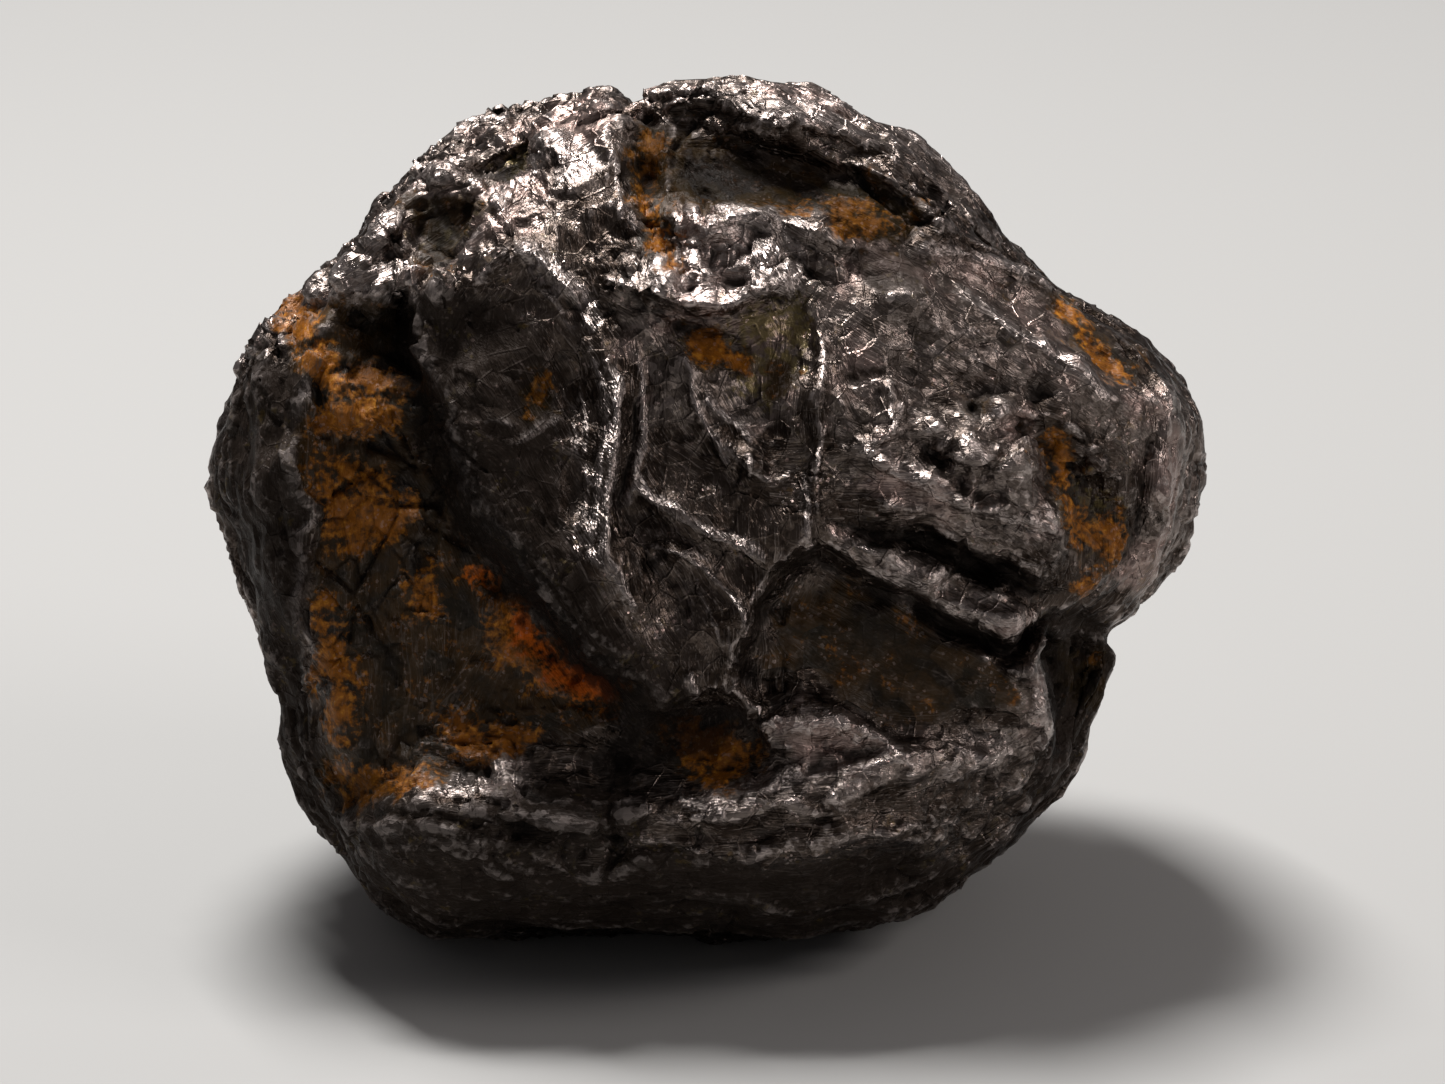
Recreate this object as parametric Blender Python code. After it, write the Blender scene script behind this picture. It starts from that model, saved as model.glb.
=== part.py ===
"""A molybdenite crystal: one rounded lump of soft, foliated, lead-grey mineral.

The broad face is a cleavage face, and it leans back by FACE_LEAN. Everything on it is drawn square on to
the face: u runs to the right, v runs up it and w stands out of it, all in millimetres. The leaves of the
mineral are stacked along w, so their edges show as ledges all round the sides.
"""

import math
from collections import namedtuple

import bmesh
import bpy
import numpy as np
from mathutils import Vector, noise

MM = 0.001

# Driving dimensions, in millimetres.
FRONT_DEPTH = 8.6
BACK_DEPTH = 10.4
SQUARENESS = 2.6
FACE_LEAN = math.radians(20)
RUBBED_FLAT = 1.0
SPHERE_SUBDIVISIONS = 7
TRIANGLES = 9500

# How far the outline is drawn inside the lump's real edge, to leave room for what stands out of it.
SKIN = 0.45

# The middle of the face, which the outline is drawn round.
MIDDLE = (0.0, 13.2)

# The lump's outline square on to the face, anticlockwise from its right-hand end.
OUTLINE = (
    (15.0, 15.0), (14.7, 16.3), (14.0, 17.5), (13.2, 18.5), (12.3, 19.2), (11.2, 19.9), (10.1, 20.6),
    (9.1, 21.5), (8.1, 22.8), (6.6, 24.0), (5.0, 24.9), (3.6, 25.7), (2.2, 26.2), (0.6, 26.4),
    (-0.9, 26.3), (-2.0, 25.8), (-3.1, 26.3), (-4.5, 26.0), (-6.0, 25.4), (-7.6, 24.6), (-8.8, 24.0),
    (-9.9, 22.9), (-11.1, 21.75), (-12.3, 20.4), (-13.6, 18.8), (-14.4, 17.2), (-14.8, 15.6), (-15.1, 14.0),
    (-14.7, 12.4), (-14.4, 10.8), (-13.7, 9.1), (-13.2, 7.6), (-13.0, 6.0), (-12.6, 4.8), (-11.8, 3.2),
    (-10.9, 1.7), (-9.9, 0.7), (-8.7, 0.1), (-6.5, 0.0), (-4.0, 0.0), (-1.0, 0.0), (2.0, 0.0),
    (5.0, 0.4), (7.0, 1.1), (8.6, 2.2), (9.7, 3.3), (10.6, 4.3), (11.2, 5.3), (11.6, 6.4),
    (12.0, 7.8), (12.2, 9.0), (12.4, 9.6), (13.2, 10.2), (13.9, 11.1), (14.5, 12.4), (14.9, 13.7),
)

# A cleavage plane that the face is cut down to: a place on it with its height, its slope to the right and
# upwards, and the width of its edge.
Plate = namedtuple("Plate", "name at slope edge corners")
# A fold or, with a negative height, a groove. The flanks are its widths to the left and right of its run.
Fold = namedtuple("Fold", "name height flanks points")
# A lump or, with a negative height, a pit.
Lump = namedtuple("Lump", "name at radius height")

PLATES = (
    Plate("left valley floor", at=(-8.0, 11.0, 6.0), slope=(0.17, 0.02), edge=1.3, corners=(
        (-11.9, 19.0), (-9.3, 18.9), (-9.1, 16.8), (-8.3, 14.5), (-6.9, 12.4), (-5.4, 10.5), (-3.6, 8.5),
        (-1.9, 6.4),
        (-4.2, 5.4), (-8.8, 5.2), (-11.6, 4.5), (-11.9, 8.0), (-12.1, 11.0), (-11.7, 14.0),
        (-12.2, 17.0))),
    Plate("trench above the bottom roll", at=(-2.0, 6.0, 6.6), slope=(0.1, 0.0), edge=0.9, corners=(
        (-9.0, 6.4), (-4.0, 6.6), (-1.6, 6.9), (0.6, 7.4), (1.7, 7.0), (1.6, 5.8), (0.2, 5.2), (-2.8, 4.8),
        (-6.0, 5.3))),
    Plate("lower right recess", at=(5.6, 8.6, 7.05), slope=(-0.06, -0.08), edge=0.7, corners=(
        (3.0, 12.0), (4.5, 11.2), (5.6, 10.7), (6.4, 10.5), (7.6, 9.5), (8.9, 9.0), (9.4, 7.8), (9.2, 6.6),
        (7.6, 6.1), (5.4, 6.3), (4.6, 6.8), (3.9, 7.4), (2.1, 7.2), (1.2, 8.4), (2.1, 10.7))),
    Plate("groove under the brow", at=(7.0, 11.9, 6.9), slope=(-0.35, 0.1), edge=0.7, corners=(
        (3.4, 13.0), (5.5, 12.9), (7.2, 12.4), (8.6, 11.8), (9.8, 10.9), (11.6, 10.2), (11.4, 9.6),
        (9.7, 9.6), (8.9, 10.8), (7.4, 11.4), (6.2, 11.9), (4.4, 12.5))),
    Plate("body behind the lobe", at=(10.5, 6.5, 3.0), slope=(-1.5, 0.1), edge=0.8, corners=(
        (9.9, 8.8), (10.1, 7.2), (9.9, 5.4), (9.2, 4.0), (8.2, 2.6), (9.2, 1.4), (11.8, 3.8), (12.9, 7.2),
        (12.9, 9.4), (11.2, 9.2))),
    Plate("right rusty hollow", at=(10.9, 13.4, 5.7), slope=(-0.4, 0.05), edge=1.0, corners=(
        (9.0, 15.3), (10.6, 15.0), (11.5, 14.2), (12.3, 12.9), (12.3, 12.0), (11.5, 11.4), (10.8, 12.2),
        (10.3, 13.3), (9.6, 14.2))),
    Plate("upper right hollow", at=(11.3, 18.3, 4.3), slope=(-0.55, -0.25), edge=0.9, corners=(
        (10.0, 19.6), (10.9, 19.4), (11.9, 18.4), (12.9, 17.0), (11.4, 17.5), (10.5, 18.0))),
    Plate("band under the top rim", at=(1.2, 22.9, 5.5), slope=(-0.16, -1.15), edge=0.9, corners=(
        (-2.6, 24.6), (-0.6, 24.5), (1.6, 24.0), (3.6, 23.4), (5.4, 22.5), (6.6, 21.4), (5.0, 20.9),
        (3.2, 21.2), (1.6, 21.9), (-0.4, 22.0), (-1.6, 20.6), (-2.6, 21.2), (-2.8, 23.0))),
    Plate("olive hollow", at=(0.9, 17.9, 7.85), slope=(0.02, -0.34), edge=0.9, corners=(
        (-1.3, 18.5), (0.6, 18.5), (1.4, 19.2), (2.7, 19.4), (2.8, 18.0), (2.3, 16.8), (1.3, 16.5),
        (0.3, 17.0), (-0.7, 17.5))),
    Plate("cave at the top left", at=(-9.6, 18.5, 4.5), slope=(-0.5, -0.5), edge=0.9, corners=(
        (-11.5, 19.2), (-10.6, 19.7), (-9.9, 19.3), (-9.3, 19.7), (-8.9, 19.2), (-9.2, 18.4), (-9.0, 17.6),
        (-9.5, 17.4), (-10.2, 17.8), (-11.0, 18.0))),
    Plate("rusty block in the valley", at=(-10.1, 16.5, 6.3), slope=(0.1, -0.25), edge=0.8, corners=(
        (-11.2, 16.9), (-10.3, 17.3), (-9.3, 17.4), (-9.0, 16.4), (-9.6, 15.7), (-11.0, 15.7))),
    Plate("hollow on the left shoulder", at=(-8.0, 21.3, 4.9), slope=(0.3, -0.4), edge=0.8, corners=(
        (-9.3, 22.3), (-8.2, 22.5), (-7.1, 22.4), (-7.0, 21.6), (-7.5, 20.6), (-8.1, 19.9), (-8.7, 20.6),
        (-9.0, 21.4))),
    Plate("pit on the left shoulder", at=(-6.1, 23.5, 3.4), slope=(0.3, -0.6), edge=0.8, corners=(
        (-6.6, 24.0), (-5.5, 24.1), (-5.5, 23.1), (-6.1, 22.9), (-6.9, 23.3))),
)

FOLDS = (
    Fold("wall left of the tongue", -0.9, (0.8, 0.4), (
        (-2.0, 6.9), (-3.3, 8.4), (-4.9, 10.1), (-6.4, 11.9), (-7.9, 14.0), (-8.9, 16.4), (-9.0, 18.4))),
    Fold("left rim", 0.6, (1.2, 0.9), (
        (-12.6, 19.2), (-13.2, 16.8), (-13.3, 14.0), (-13.1, 11.0), (-12.6, 8.0), (-12.3, 5.4),
        (-11.2, 3.6))),
    Fold("left rim shoulder", 0.4, (0.5, 0.8), (
        (-12.3, 17.6), (-11.9, 15.6), (-12.3, 14.3), (-12.0, 12.6))),
    Fold("bottom roll", 1.3, (2.1, 1.3), (
        (9.2, 4.4), (6.2, 4.2), (3.2, 3.6), (0.0, 3.2), (-3.0, 2.9), (-6.0, 2.9), (-9.0, 3.1),
        (-11.2, 3.0))),
    Fold("top of the bottom roll", 0.8, (0.9, 0.45), (
        (9.0, 5.2), (6.2, 5.6), (3.2, 5.1), (0.0, 4.6), (-3.0, 4.3), (-6.0, 4.4), (-9.0, 4.5),
        (-11.4, 4.0))),
    Fold("rope along the roll", 0.7, (0.4, 0.35), (
        (-2.9, 4.2), (-4.0, 4.4), (-5.4, 4.7), (-6.4, 5.1), (-7.3, 5.3), (-8.8, 5.4))),
    Fold("roll, right ledge", 0.5, (0.8, 0.3), (
        (9.0, 5.9), (8.0, 5.9), (7.0, 6.0), (5.8, 6.1), (4.8, 6.0), (3.7, 5.6), (2.2, 5.3), (0.0, 5.0),
        (-2.6, 4.6))),
    Fold("roll, upper leaf", 0.55, (0.8, 0.25), (
        (6.4, 6.3), (5.2, 6.3), (4.4, 6.9), (3.8, 7.4), (2.8, 7.3), (1.8, 7.2), (1.2, 6.8))),
    Fold("split in the roll", -0.8, (0.35, 0.35), ((-2.7, 5.2), (-2.9, 4.4), (-2.9, 3.4), (-2.7, 2.8))),
    Fold("roll, lower ledge", 0.4, (0.5, 0.25), (
        (8.6, 3.6), (6.4, 3.6), (4.6, 4.1), (2.2, 3.8), (0.2, 3.5), (-2.4, 3.6))),
    Fold("roll, left ledge", 0.4, (0.5, 0.25), (
        (-4.0, 3.7), (-6.2, 3.6), (-8.0, 3.9), (-9.8, 3.8), (-11.4, 4.2))),
    Fold("roll, foot", 0.35, (0.6, 0.3), ((6.0, 2.2), (3.4, 1.9), (0.8, 2.0), (-2.4, 1.9), (-4.8, 1.9))),
    Fold("tongue, left edge", 0.4, (0.7, 1.8), (
        (-1.6, 7.4), (-2.9, 9.0), (-4.5, 11.0), (-6.1, 13.0), (-7.5, 15.0), (-8.3, 17.0), (-8.3, 18.8))),
    Fold("tongue, right edge", 0.4, (1.5, 0.35), (
        (0.6, 7.6), (1.5, 9.4), (2.3, 11.0), (3.0, 12.6), (3.1, 14.6), (3.1, 17.0), (3.0, 19.2))),
    Fold("tongue, main fold", 0.6, (0.45, 0.6), (
        (-3.7, 19.2), (-3.3, 17.4), (-2.8, 15.4), (-2.5, 13.4), (-2.4, 11.4), (-2.1, 9.6))),
    Fold("tongue, second fold", 0.3, (0.4, 0.5), (
        (-1.2, 18.4), (-0.5, 16.8), (0.2, 15.4), (1.4, 14.6), (2.4, 13.9))),
    Fold("tongue, third fold", 0.4, (0.45, 0.3), (
        (-2.0, 17.2), (-1.8, 15.2), (-1.2, 13.7), (0.2, 12.6), (0.9, 11.2))),
    Fold("tongue, fourth fold", 0.3, (0.35, 0.3), ((-1.4, 12.3), (-0.4, 11.8), (0.6, 10.8), (1.1, 9.4))),
    Fold("tongue, valley", -0.45, (0.5, 0.6), (
        (-2.2, 17.8), (-1.9, 15.2), (-1.7, 12.8), (-1.2, 10.6), (-0.8, 9.0))),
    Fold("tongue, left dent", -0.35, (0.7, 0.5), ((-4.9, 18.4), (-4.4, 16.6), (-3.9, 14.6), (-3.4, 12.6))),
    Fold("tongue, top fold", 0.6, (0.5, 0.6), (
        (-7.2, 19.1), (-5.9, 20.3), (-5.2, 20.4), (-4.6, 19.7), (-4.0, 19.0))),
    Fold("ledge across the middle", 1.15, (0.35, 1.2), (
        (2.8, 19.7), (1.6, 19.6), (0.6, 19.0), (-0.6, 18.9), (-1.8, 19.2), (-2.9, 19.5), (-3.7, 20.2))),
    Fold("brow over the ledge", 0.55, (0.8, 0.4), (
        (-1.0, 20.9), (-0.3, 21.6), (0.5, 21.4), (1.2, 21.8), (2.2, 21.6), (2.9, 21.1), (4.0, 20.8),
        (5.2, 20.8))),
    Fold("hollow beside the brow", -0.6, (0.8, 0.6), (
        (-2.0, 23.8), (-2.0, 22.3), (-1.6, 21.2), (-1.3, 20.6))),
    Fold("top rim", 0.8, (0.4, 1.1), (
        (6.4, 22.0), (5.4, 23.2), (4.0, 24.0), (2.2, 24.5), (0.0, 24.9), (-1.6, 25.0), (-3.0, 25.1),
        (-4.6, 24.8))),
    Fold("top rim, outer leaf", 0.35, (0.25, 0.6), (
        (9.4, 20.1), (8.3, 21.2), (7.0, 22.3), (5.6, 23.4), (4.0, 24.4), (2.0, 25.1), (-0.6, 25.5))),
    Fold("top notch", -0.8, (0.7, 0.6), ((-1.9, 26.4), (-2.0, 25.8), (-2.4, 25.2), (-3.0, 24.7))),
    Fold("ledge under the rim", 0.7, (0.3, 0.6), (
        (7.6, 20.9), (6.4, 21.6), (5.8, 22.2), (5.0, 22.6), (4.2, 22.6))),
    Fold("right shoulder, upper", 0.6, (0.4, 0.8), (
        (10.4, 19.5), (9.4, 19.8), (8.2, 20.5), (7.0, 20.9), (5.8, 21.2))),
    Fold("right shoulder crack", -0.6, (0.25, 0.3), (
        (10.0, 19.8), (9.2, 20.4), (8.4, 20.9), (7.6, 21.6))),
    Fold("right shoulder, broad", 0.8, (0.9, 0.8), (
        (13.4, 16.2), (12.0, 16.8), (10.6, 17.4), (9.2, 18.2), (7.6, 19.1), (5.8, 19.5), (4.4, 20.2))),
    Fold("right shoulder, under", -0.6, (0.8, 0.8), (
        (10.8, 16.0), (9.2, 16.4), (7.8, 16.7), (6.4, 17.2), (5.0, 17.5))),
    Fold("brow over the groove", 0.7, (0.5, 1.0), (
        (11.2, 12.2), (10.0, 12.9), (8.6, 13.5), (7.2, 13.8), (6.0, 14.3), (4.8, 14.9), (3.3, 15.0))),
    Fold("brow, lower lip", 0.4, (0.5, 0.7), (
        (10.6, 11.2), (9.6, 12.2), (8.0, 12.9), (6.0, 13.3), (3.6, 13.3))),
    Fold("lumpy ridge in the groove", 0.3, (0.5, 0.5), (
        (9.2, 10.0), (8.4, 10.1), (7.5, 10.5), (6.8, 11.0), (5.9, 11.4), (5.0, 11.9), (3.8, 12.4))),
    Fold("crack to the notch", -0.6, (0.22, 0.22), (
        (11.8, 9.7), (11.0, 9.6), (10.0, 9.6), (9.2, 9.2), (8.4, 9.1), (7.7, 9.4), (6.9, 9.9), (6.3, 10.5),
        (5.4, 10.7), (4.5, 11.1), (3.2, 11.6))),
    Fold("gap behind the lobe", -0.5, (0.3, 0.3), ((10.0, 9.3), (10.4, 8.4), (10.5, 7.2), (10.2, 6.0))),
    Fold("notch on the right", -0.25, (0.4, 0.4), ((13.2, 9.2), (12.4, 9.5), (11.6, 9.6), (10.8, 9.7))),
    Fold("recess, right rim", 0.7, (0.7, 0.6), (
        (9.1, 5.4), (9.8, 6.4), (9.9, 7.4), (9.4, 8.4), (8.5, 9.0))),
    Fold("right rim", 0.6, (0.8, 0.9), (
        (12.6, 10.6), (13.4, 12.4), (13.5, 14.2), (13.4, 15.8), (12.8, 17.2))),
    Fold("right rim crease", -0.35, (0.3, 0.3), ((12.9, 11.8), (12.8, 13.2), (13.0, 14.6), (12.9, 15.8))),
    Fold("facet edge, left", 0.3, (0.25, 0.7), ((3.4, 17.2), (3.8, 16.2), (4.5, 15.2))),
    Fold("facet edge, right", 0.4, (0.3, 0.7), ((5.1, 17.2), (5.15, 16.2), (5.1, 15.0))),
)

LUMPS = (
    Lump("bright lump on the roll", (-8.2, 5.5), 0.8, 0.8),
    Lump("small lump on the roll", (-6.3, 5.5), 0.45, 0.7),
    Lump("valley knob", (-6.2, 10.4), 0.6, 0.6),
    Lump("left shoulder, outer", (-8.3, 23.3), 0.8, 0.5),
    Lump("left shoulder, upper", (-6.7, 24.4), 0.7, 0.5),
    Lump("left shoulder, inner", (-7.6, 23.0), 0.5, 0.5),
    Lump("left shoulder pit", (-7.8, 23.6), 0.35, -0.7),
    Lump("pale facet", (-4.9, 23.9), 0.7, 0.8),
    Lump("knuckle under the facet", (-6.3, 22.0), 0.5, 0.4),
    Lump("rim knuckle, upper", (-9.4, 21.4), 0.6, 0.6),
    Lump("rim knuckle, bright", (-10.4, 20.4), 0.8, 0.8),
    Lump("rim knuckle, lower", (-11.5, 19.9), 0.6, 0.6),
    Lump("rim knuckle, inner", (-8.6, 20.3), 0.5, 0.5),
    Lump("lump at the cave's mouth", (-7.8, 19.8), 0.55, 0.7),
    Lump("left rim lump", (-12.8, 18.4), 0.7, 0.5),
    Lump("left rim knuckle", (-12.6, 14.8), 0.6, 0.4),
    Lump("left rim hollow", (-13.3, 12.6), 0.7, -0.3),
    Lump("bright cluster, left", (-1.5, 19.9), 0.5, 0.6),
    Lump("bright cluster, right", (-0.3, 20.1), 0.5, 0.5),
    Lump("brow knuckle", (0.0, 21.3), 0.5, 0.4),
    Lump("block on the right", (7.4, 14.9), 0.8, 0.7),
    Lump("block's shadow", (6.2, 15.0), 0.35, -0.4),
    Lump("block's foot", (7.5, 14.0), 0.35, -0.4),
    Lump("lump left of the block", (6.5, 15.7), 0.45, 0.5),
    Lump("lump right of the block", (8.8, 16.0), 0.5, 0.6),
    Lump("lump under the block", (8.8, 14.4), 0.6, 0.6),
    Lump("rusty hole", (7.9, 16.0), 0.35, -0.45),
    Lump("tongue knob", (1.3, 14.7), 0.5, 0.4),
    Lump("ridge lump, left", (6.3, 11.0), 0.5, 0.4),
    Lump("ridge lump, right", (8.5, 10.0), 0.55, 0.5),
    Lump("hole in the crack", (9.2, 9.3), 0.35, -0.9),
    Lump("knob in the crack", (9.8, 9.2), 0.35, 0.6),
    Lump("lump at the notch", (11.7, 9.3), 0.5, 0.5),
    Lump("hole in the trench", (-2.7, 5.3), 0.6, -0.7),
)

# The far face, drawn in the same u and v, with heights measured out of it.
BACK_PLATES = (
    Plate("upper cleavage step", at=(0.0, 19.6, 9.0), slope=(-0.03, -0.14), edge=0.9, corners=(
        (-8.2, 27.0), (0.0, 29.0), (8.6, 26.0), (8.2, 18.2), (3.4, 16.4), (-3.2, 17.2), (-7.6, 19.4))),
    Plate("left hand step", at=(-8.6, 10.6, 8.5), slope=(0.16, 0.03), edge=1.1, corners=(
        (-16.0, 14.4), (-8.0, 14.2), (-4.6, 12.4), (-3.8, 8.8), (-6.0, 4.6), (-8.0, 0.0), (-16.0, 0.0))),
    Plate("right hand step", at=(8.0, 10.2, 8.7), slope=(-0.14, 0.04), edge=0.9, corners=(
        (4.2, 12.6), (9.4, 13.8), (16.0, 13.0), (16.0, 4.0), (8.0, 1.0), (4.6, 4.6), (2.8, 9.4))),
)
BACK_FOLDS = (
    Fold("back seam", 0.8, (0.9, 0.5), (
        (-11.6, 15.6), (-7.4, 15.0), (-2.6, 14.9), (2.2, 14.3), (7.2, 15.4), (12.4, 15.0))),
    Fold("back rib", 0.7, (0.8, 0.6), ((-2.6, 13.6), (-0.8, 10.6), (0.0, 7.4), (-0.4, 4.2))),
    Fold("back crack", -0.7, (0.35, 0.35), ((-5.4, 24.2), (-4.2, 21.6), (-4.6, 18.8), (-3.2, 16.8))),
    Fold("back roll", 0.9, (0.6, 1.4), ((-10.4, 4.6), (-5.2, 3.7), (0.6, 3.6), (6.4, 4.2), (9.6, 6.2))),
    Fold("back fold, left", 0.5, (0.6, 0.5), ((-12.4, 11.0), (-11.2, 8.0), (-10.2, 5.8))),
    Fold("back fold, right", 0.6, (0.5, 0.8), ((9.8, 18.2), (11.2, 14.8), (11.0, 11.6), (9.4, 8.2))),
    Fold("back pleat", 0.4, (0.4, 0.5), ((0.4, 22.6), (2.2, 20.4), (3.0, 18.0), (2.6, 15.8))),
    Fold("back pleat, second", 0.4, (0.5, 0.4), ((-6.0, 12.2), (-5.8, 9.8), (-7.2, 7.2))),
)
BACK_LUMPS = (
    Lump("back knob", (-8.6, 20.2), 1.1, 0.6),
    Lump("back knob, right", (8.4, 20.0), 1.0, 0.5),
    Lump("back knuckle", (4.6, 4.9), 0.9, 0.5),
    Lump("back pit", (-1.0, 8.8), 0.6, -0.6),
    Lump("back pit, upper", (5.6, 17.0), 0.5, -0.6),
    Lump("back knuckle, left", (-11.4, 13.4), 0.8, 0.5),
)

# Ledges where the leaves of the stack come out at the sides.
LEAF_SPACING = 2.3
LEAF_STEP = 0.4
LEAF_WANDER = ((9.0, 1.3), (3.1, 0.35))
LEAF_BREAKS = ((4.3, 1.2),)
# What makes drawn lines wander, and the dents of the whole surface: scale across and size, coarse to fine.
CROOKEDNESS = ((3.2, 0.6), (1.3, 0.22))
AXIS_SHIFTS = (20, 40, 60)
DENTS = ((5.5, 0.40), (2.2, 0.22), (1.1, 0.11))
# The crispness of folds: 2 is round and 1 is a knife edge.
CRISPNESS = 1.35


def clear_scene():
    for old in list(bpy.data.objects):
        bpy.data.objects.remove(old)


def ease(low, high, x):
    """0 below low, 1 above high, and a smooth rise between."""
    t = np.clip((x - low) / (high - low), 0, 1)
    return t * t * (3 - 2 * t)


def smooth_path(points, closed=False, steps=6):
    """A Catmull-Rom curve through the points, as an array of closer points."""
    p = np.array(points, float)
    if closed:
        p = np.vstack([p[-1], p, p[0], p[1]])
    else:
        p = np.vstack([2 * p[0] - p[1], p, 2 * p[-1] - p[-2]])
    made = []
    for a, b, c, d in zip(p[:-3], p[1:-2], p[2:-1], p[3:]):
        for t in np.arange(steps) / steps:
            bend = (2 * a - 5 * b + 4 * c - d) * t**2 + (3 * b - a - 3 * c + d) * t**3
            made.append(b + (c - a) * t / 2 + bend / 2)
    if not closed:
        made.append(p[-2])
    return np.array(made)


def outline_reach(angle):
    """How far the drawn outline lies from the middle, in each direction round the face."""
    path = smooth_path(OUTLINE, closed=True) - MIDDLE
    around = np.arctan2(path[:, 1], path[:, 0])
    order = np.argsort(around)
    return np.interp(angle, around[order], np.hypot(*path.T)[order] - SKIN, period=2 * math.pi)


def plain_lump(direction):
    """The uncarved lump in (u, v, w): a squarish ellipsoid with the outline as its waist."""
    across = np.hypot(direction[:, 0], direction[:, 1])
    reach = outline_reach(np.arctan2(direction[:, 1], direction[:, 0]))
    depth = np.where(direction[:, 2] > 0, FRONT_DEPTH, BACK_DEPTH)
    through = np.abs(direction[:, 2]) / depth
    size = ((across / reach) ** SQUARENESS + through**SQUARENESS) ** (-1 / SQUARENESS)
    return direction * size[:, None] + (*MIDDLE, 0)


def on_plain_lump(places, side):
    """Places (u, v) of the drawing as (u, v, w) on the plain lump's near (side 1) or far (side -1) half."""
    offset = np.array(places, float) - MIDDLE
    share = np.hypot(*offset.T) / outline_reach(np.arctan2(offset[:, 1], offset[:, 0]))
    depth = FRONT_DEPTH if side > 0 else BACK_DEPTH
    height = depth * np.clip(1 - share**SQUARENESS, 0, 1) ** (1 / SQUARENESS)
    return np.column_stack([offset + MIDDLE, side * height])


def dents(points, octaves, shift=0):
    """Soft random heights over the surface. Each shift gives another pattern."""
    height = np.zeros(len(points))
    for scale, size in octaves:
        start = Vector((scale + shift, 3 * scale, 5 * scale))
        height += size * np.array([noise.noise(Vector(p) / scale + start) for p in points])
    return height


def wandering(points, octaves):
    """A small sideways step at each point, for lines that aren't drawn with a ruler."""
    return np.column_stack([dents(points, octaves, shift) for shift in AXIS_SHIFTS])


def inside_plate(points, plate):
    """1 inside the plate's corners, 0 outside, and a smooth change over the width of its edge."""
    path = smooth_path(plate.corners, closed=True, steps=3)
    distance = np.full(len(points), np.inf)
    crossings = np.zeros(len(points), int)
    for a, b in zip(path, np.roll(path, -1, axis=0)):
        run = b - a
        t = np.clip((points - a) @ run / (run @ run), 0, 1)
        distance = np.minimum(distance, np.hypot(*(points - a - t[:, None] * run).T))
        spans = (a[1] > points[:, 1]) != (b[1] > points[:, 1])
        meets = a[0] + (points[:, 1] - a[1]) * run[0] / (run[1] if run[1] else 1)
        crossings += spans & (points[:, 0] < meets)
    signed = np.where(crossings % 2 == 1, distance, -distance)
    return ease(-plate.edge / 2, plate.edge / 2, signed)


def fold_height(points, fold, side):
    """The fold's height at each point: full along its line, falling over each flank and towards its ends."""
    path = on_plain_lump(smooth_path(fold.points), side)
    nearest = np.full(len(points), np.inf)
    rise = np.zeros(len(points))
    for i, (a, b) in enumerate(zip(path[:-1], path[1:])):
        run = b - a
        t = np.clip((points - a) @ run / (run @ run), 0, 1)
        away = points - a - t[:, None] * run
        distance = np.linalg.norm(away, axis=1)
        left = (run[0] * away[:, 1] - run[1] * away[:, 0]) > 0
        width = np.where(left, *fold.flanks)
        along = (i + t) / (len(path) - 1)
        taper = ease(0, 0.18, along) * ease(0, 0.18, 1 - along)
        closer = distance < nearest
        rise[closer] = (fold.height * taper * np.exp(-((distance / width) ** CRISPNESS)))[closer]
        nearest = np.minimum(nearest, distance)
    return rise


def lump_height(points, lump, side):
    centre = on_plain_lump([lump.at], side)
    return lump.height * np.exp(-((np.linalg.norm(points - centre, axis=1) / lump.radius) ** 2))


def carve(plain, drawn, facing, outward, features, side):
    """How far one face's plates, folds and lumps move each point of the plain lump.

    The features are looked up at the drawn points, which wander about the plain ones.
    """
    plates, folds, lumps = features
    move = np.zeros_like(plain)
    for plate in plates:
        u, v, w = plate.at
        plane = w + plate.slope[0] * (plain[:, 0] - u) + plate.slope[1] * (plain[:, 1] - v)
        plane = np.minimum(plane, side * plain[:, 2])
        share = inside_plate(drawn[:, :2], plate) * ease(0, 0.3, facing)
        move[:, 2] += share * (side * plane - plain[:, 2] - move[:, 2])
    rise = sum(fold_height(drawn, fold, side) for fold in folds)
    rise += sum(lump_height(drawn, lump, side) for lump in lumps)
    towards = outward + side * np.outer(ease(0.1, 0.6, side * outward[:, 2]), (0, 0, 1.5))
    towards /= np.linalg.norm(towards, axis=1)[:, None]
    return move + towards * (rise * ease(-0.3, 0.1, facing))[:, None]


def leaf_ledges(points, outward):
    """The steps of the leaves' edges out of the sides, like the edge of a worn book."""
    phase = (points[:, 2] / LEAF_SPACING + dents(points, LEAF_WANDER)) % 1
    tread = ease(0, 0.25, phase) * (1 - ease(0.35, 1, phase))
    whole = ease(-0.5, 0.4, dents(points + LEAF_SPACING, LEAF_BREAKS))
    fade = ease(0.15, 0.75, 1 - np.abs(outward[:, 2]))
    return LEAF_STEP * fade * whole * (tread - 0.35)


def read_points(mesh):
    points = np.empty(len(mesh.vertices) * 3, np.float32)
    mesh.vertices.foreach_get("co", points)
    return points.reshape(-1, 3).astype(float)


def write_points(mesh, points):
    mesh.vertices.foreach_set("co", points.astype(np.float32).ravel())
    mesh.update()


def outward_of(points, mesh):
    """The normal at each point, averaged from the triangles round it."""
    corners = np.empty(len(mesh.loops), np.int32)
    mesh.loops.foreach_get("vertex_index", corners)
    corners = corners.reshape(-1, 3)
    a, b, c = (points[corners[:, i]] for i in range(3))
    facing = np.cross(b - a, c - a)
    normals = np.column_stack([
        np.bincount(corners.ravel(), np.repeat(facing[:, axis], 3), len(points)) for axis in range(3)
    ])
    return normals / np.linalg.norm(normals, axis=1)[:, None]


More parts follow.
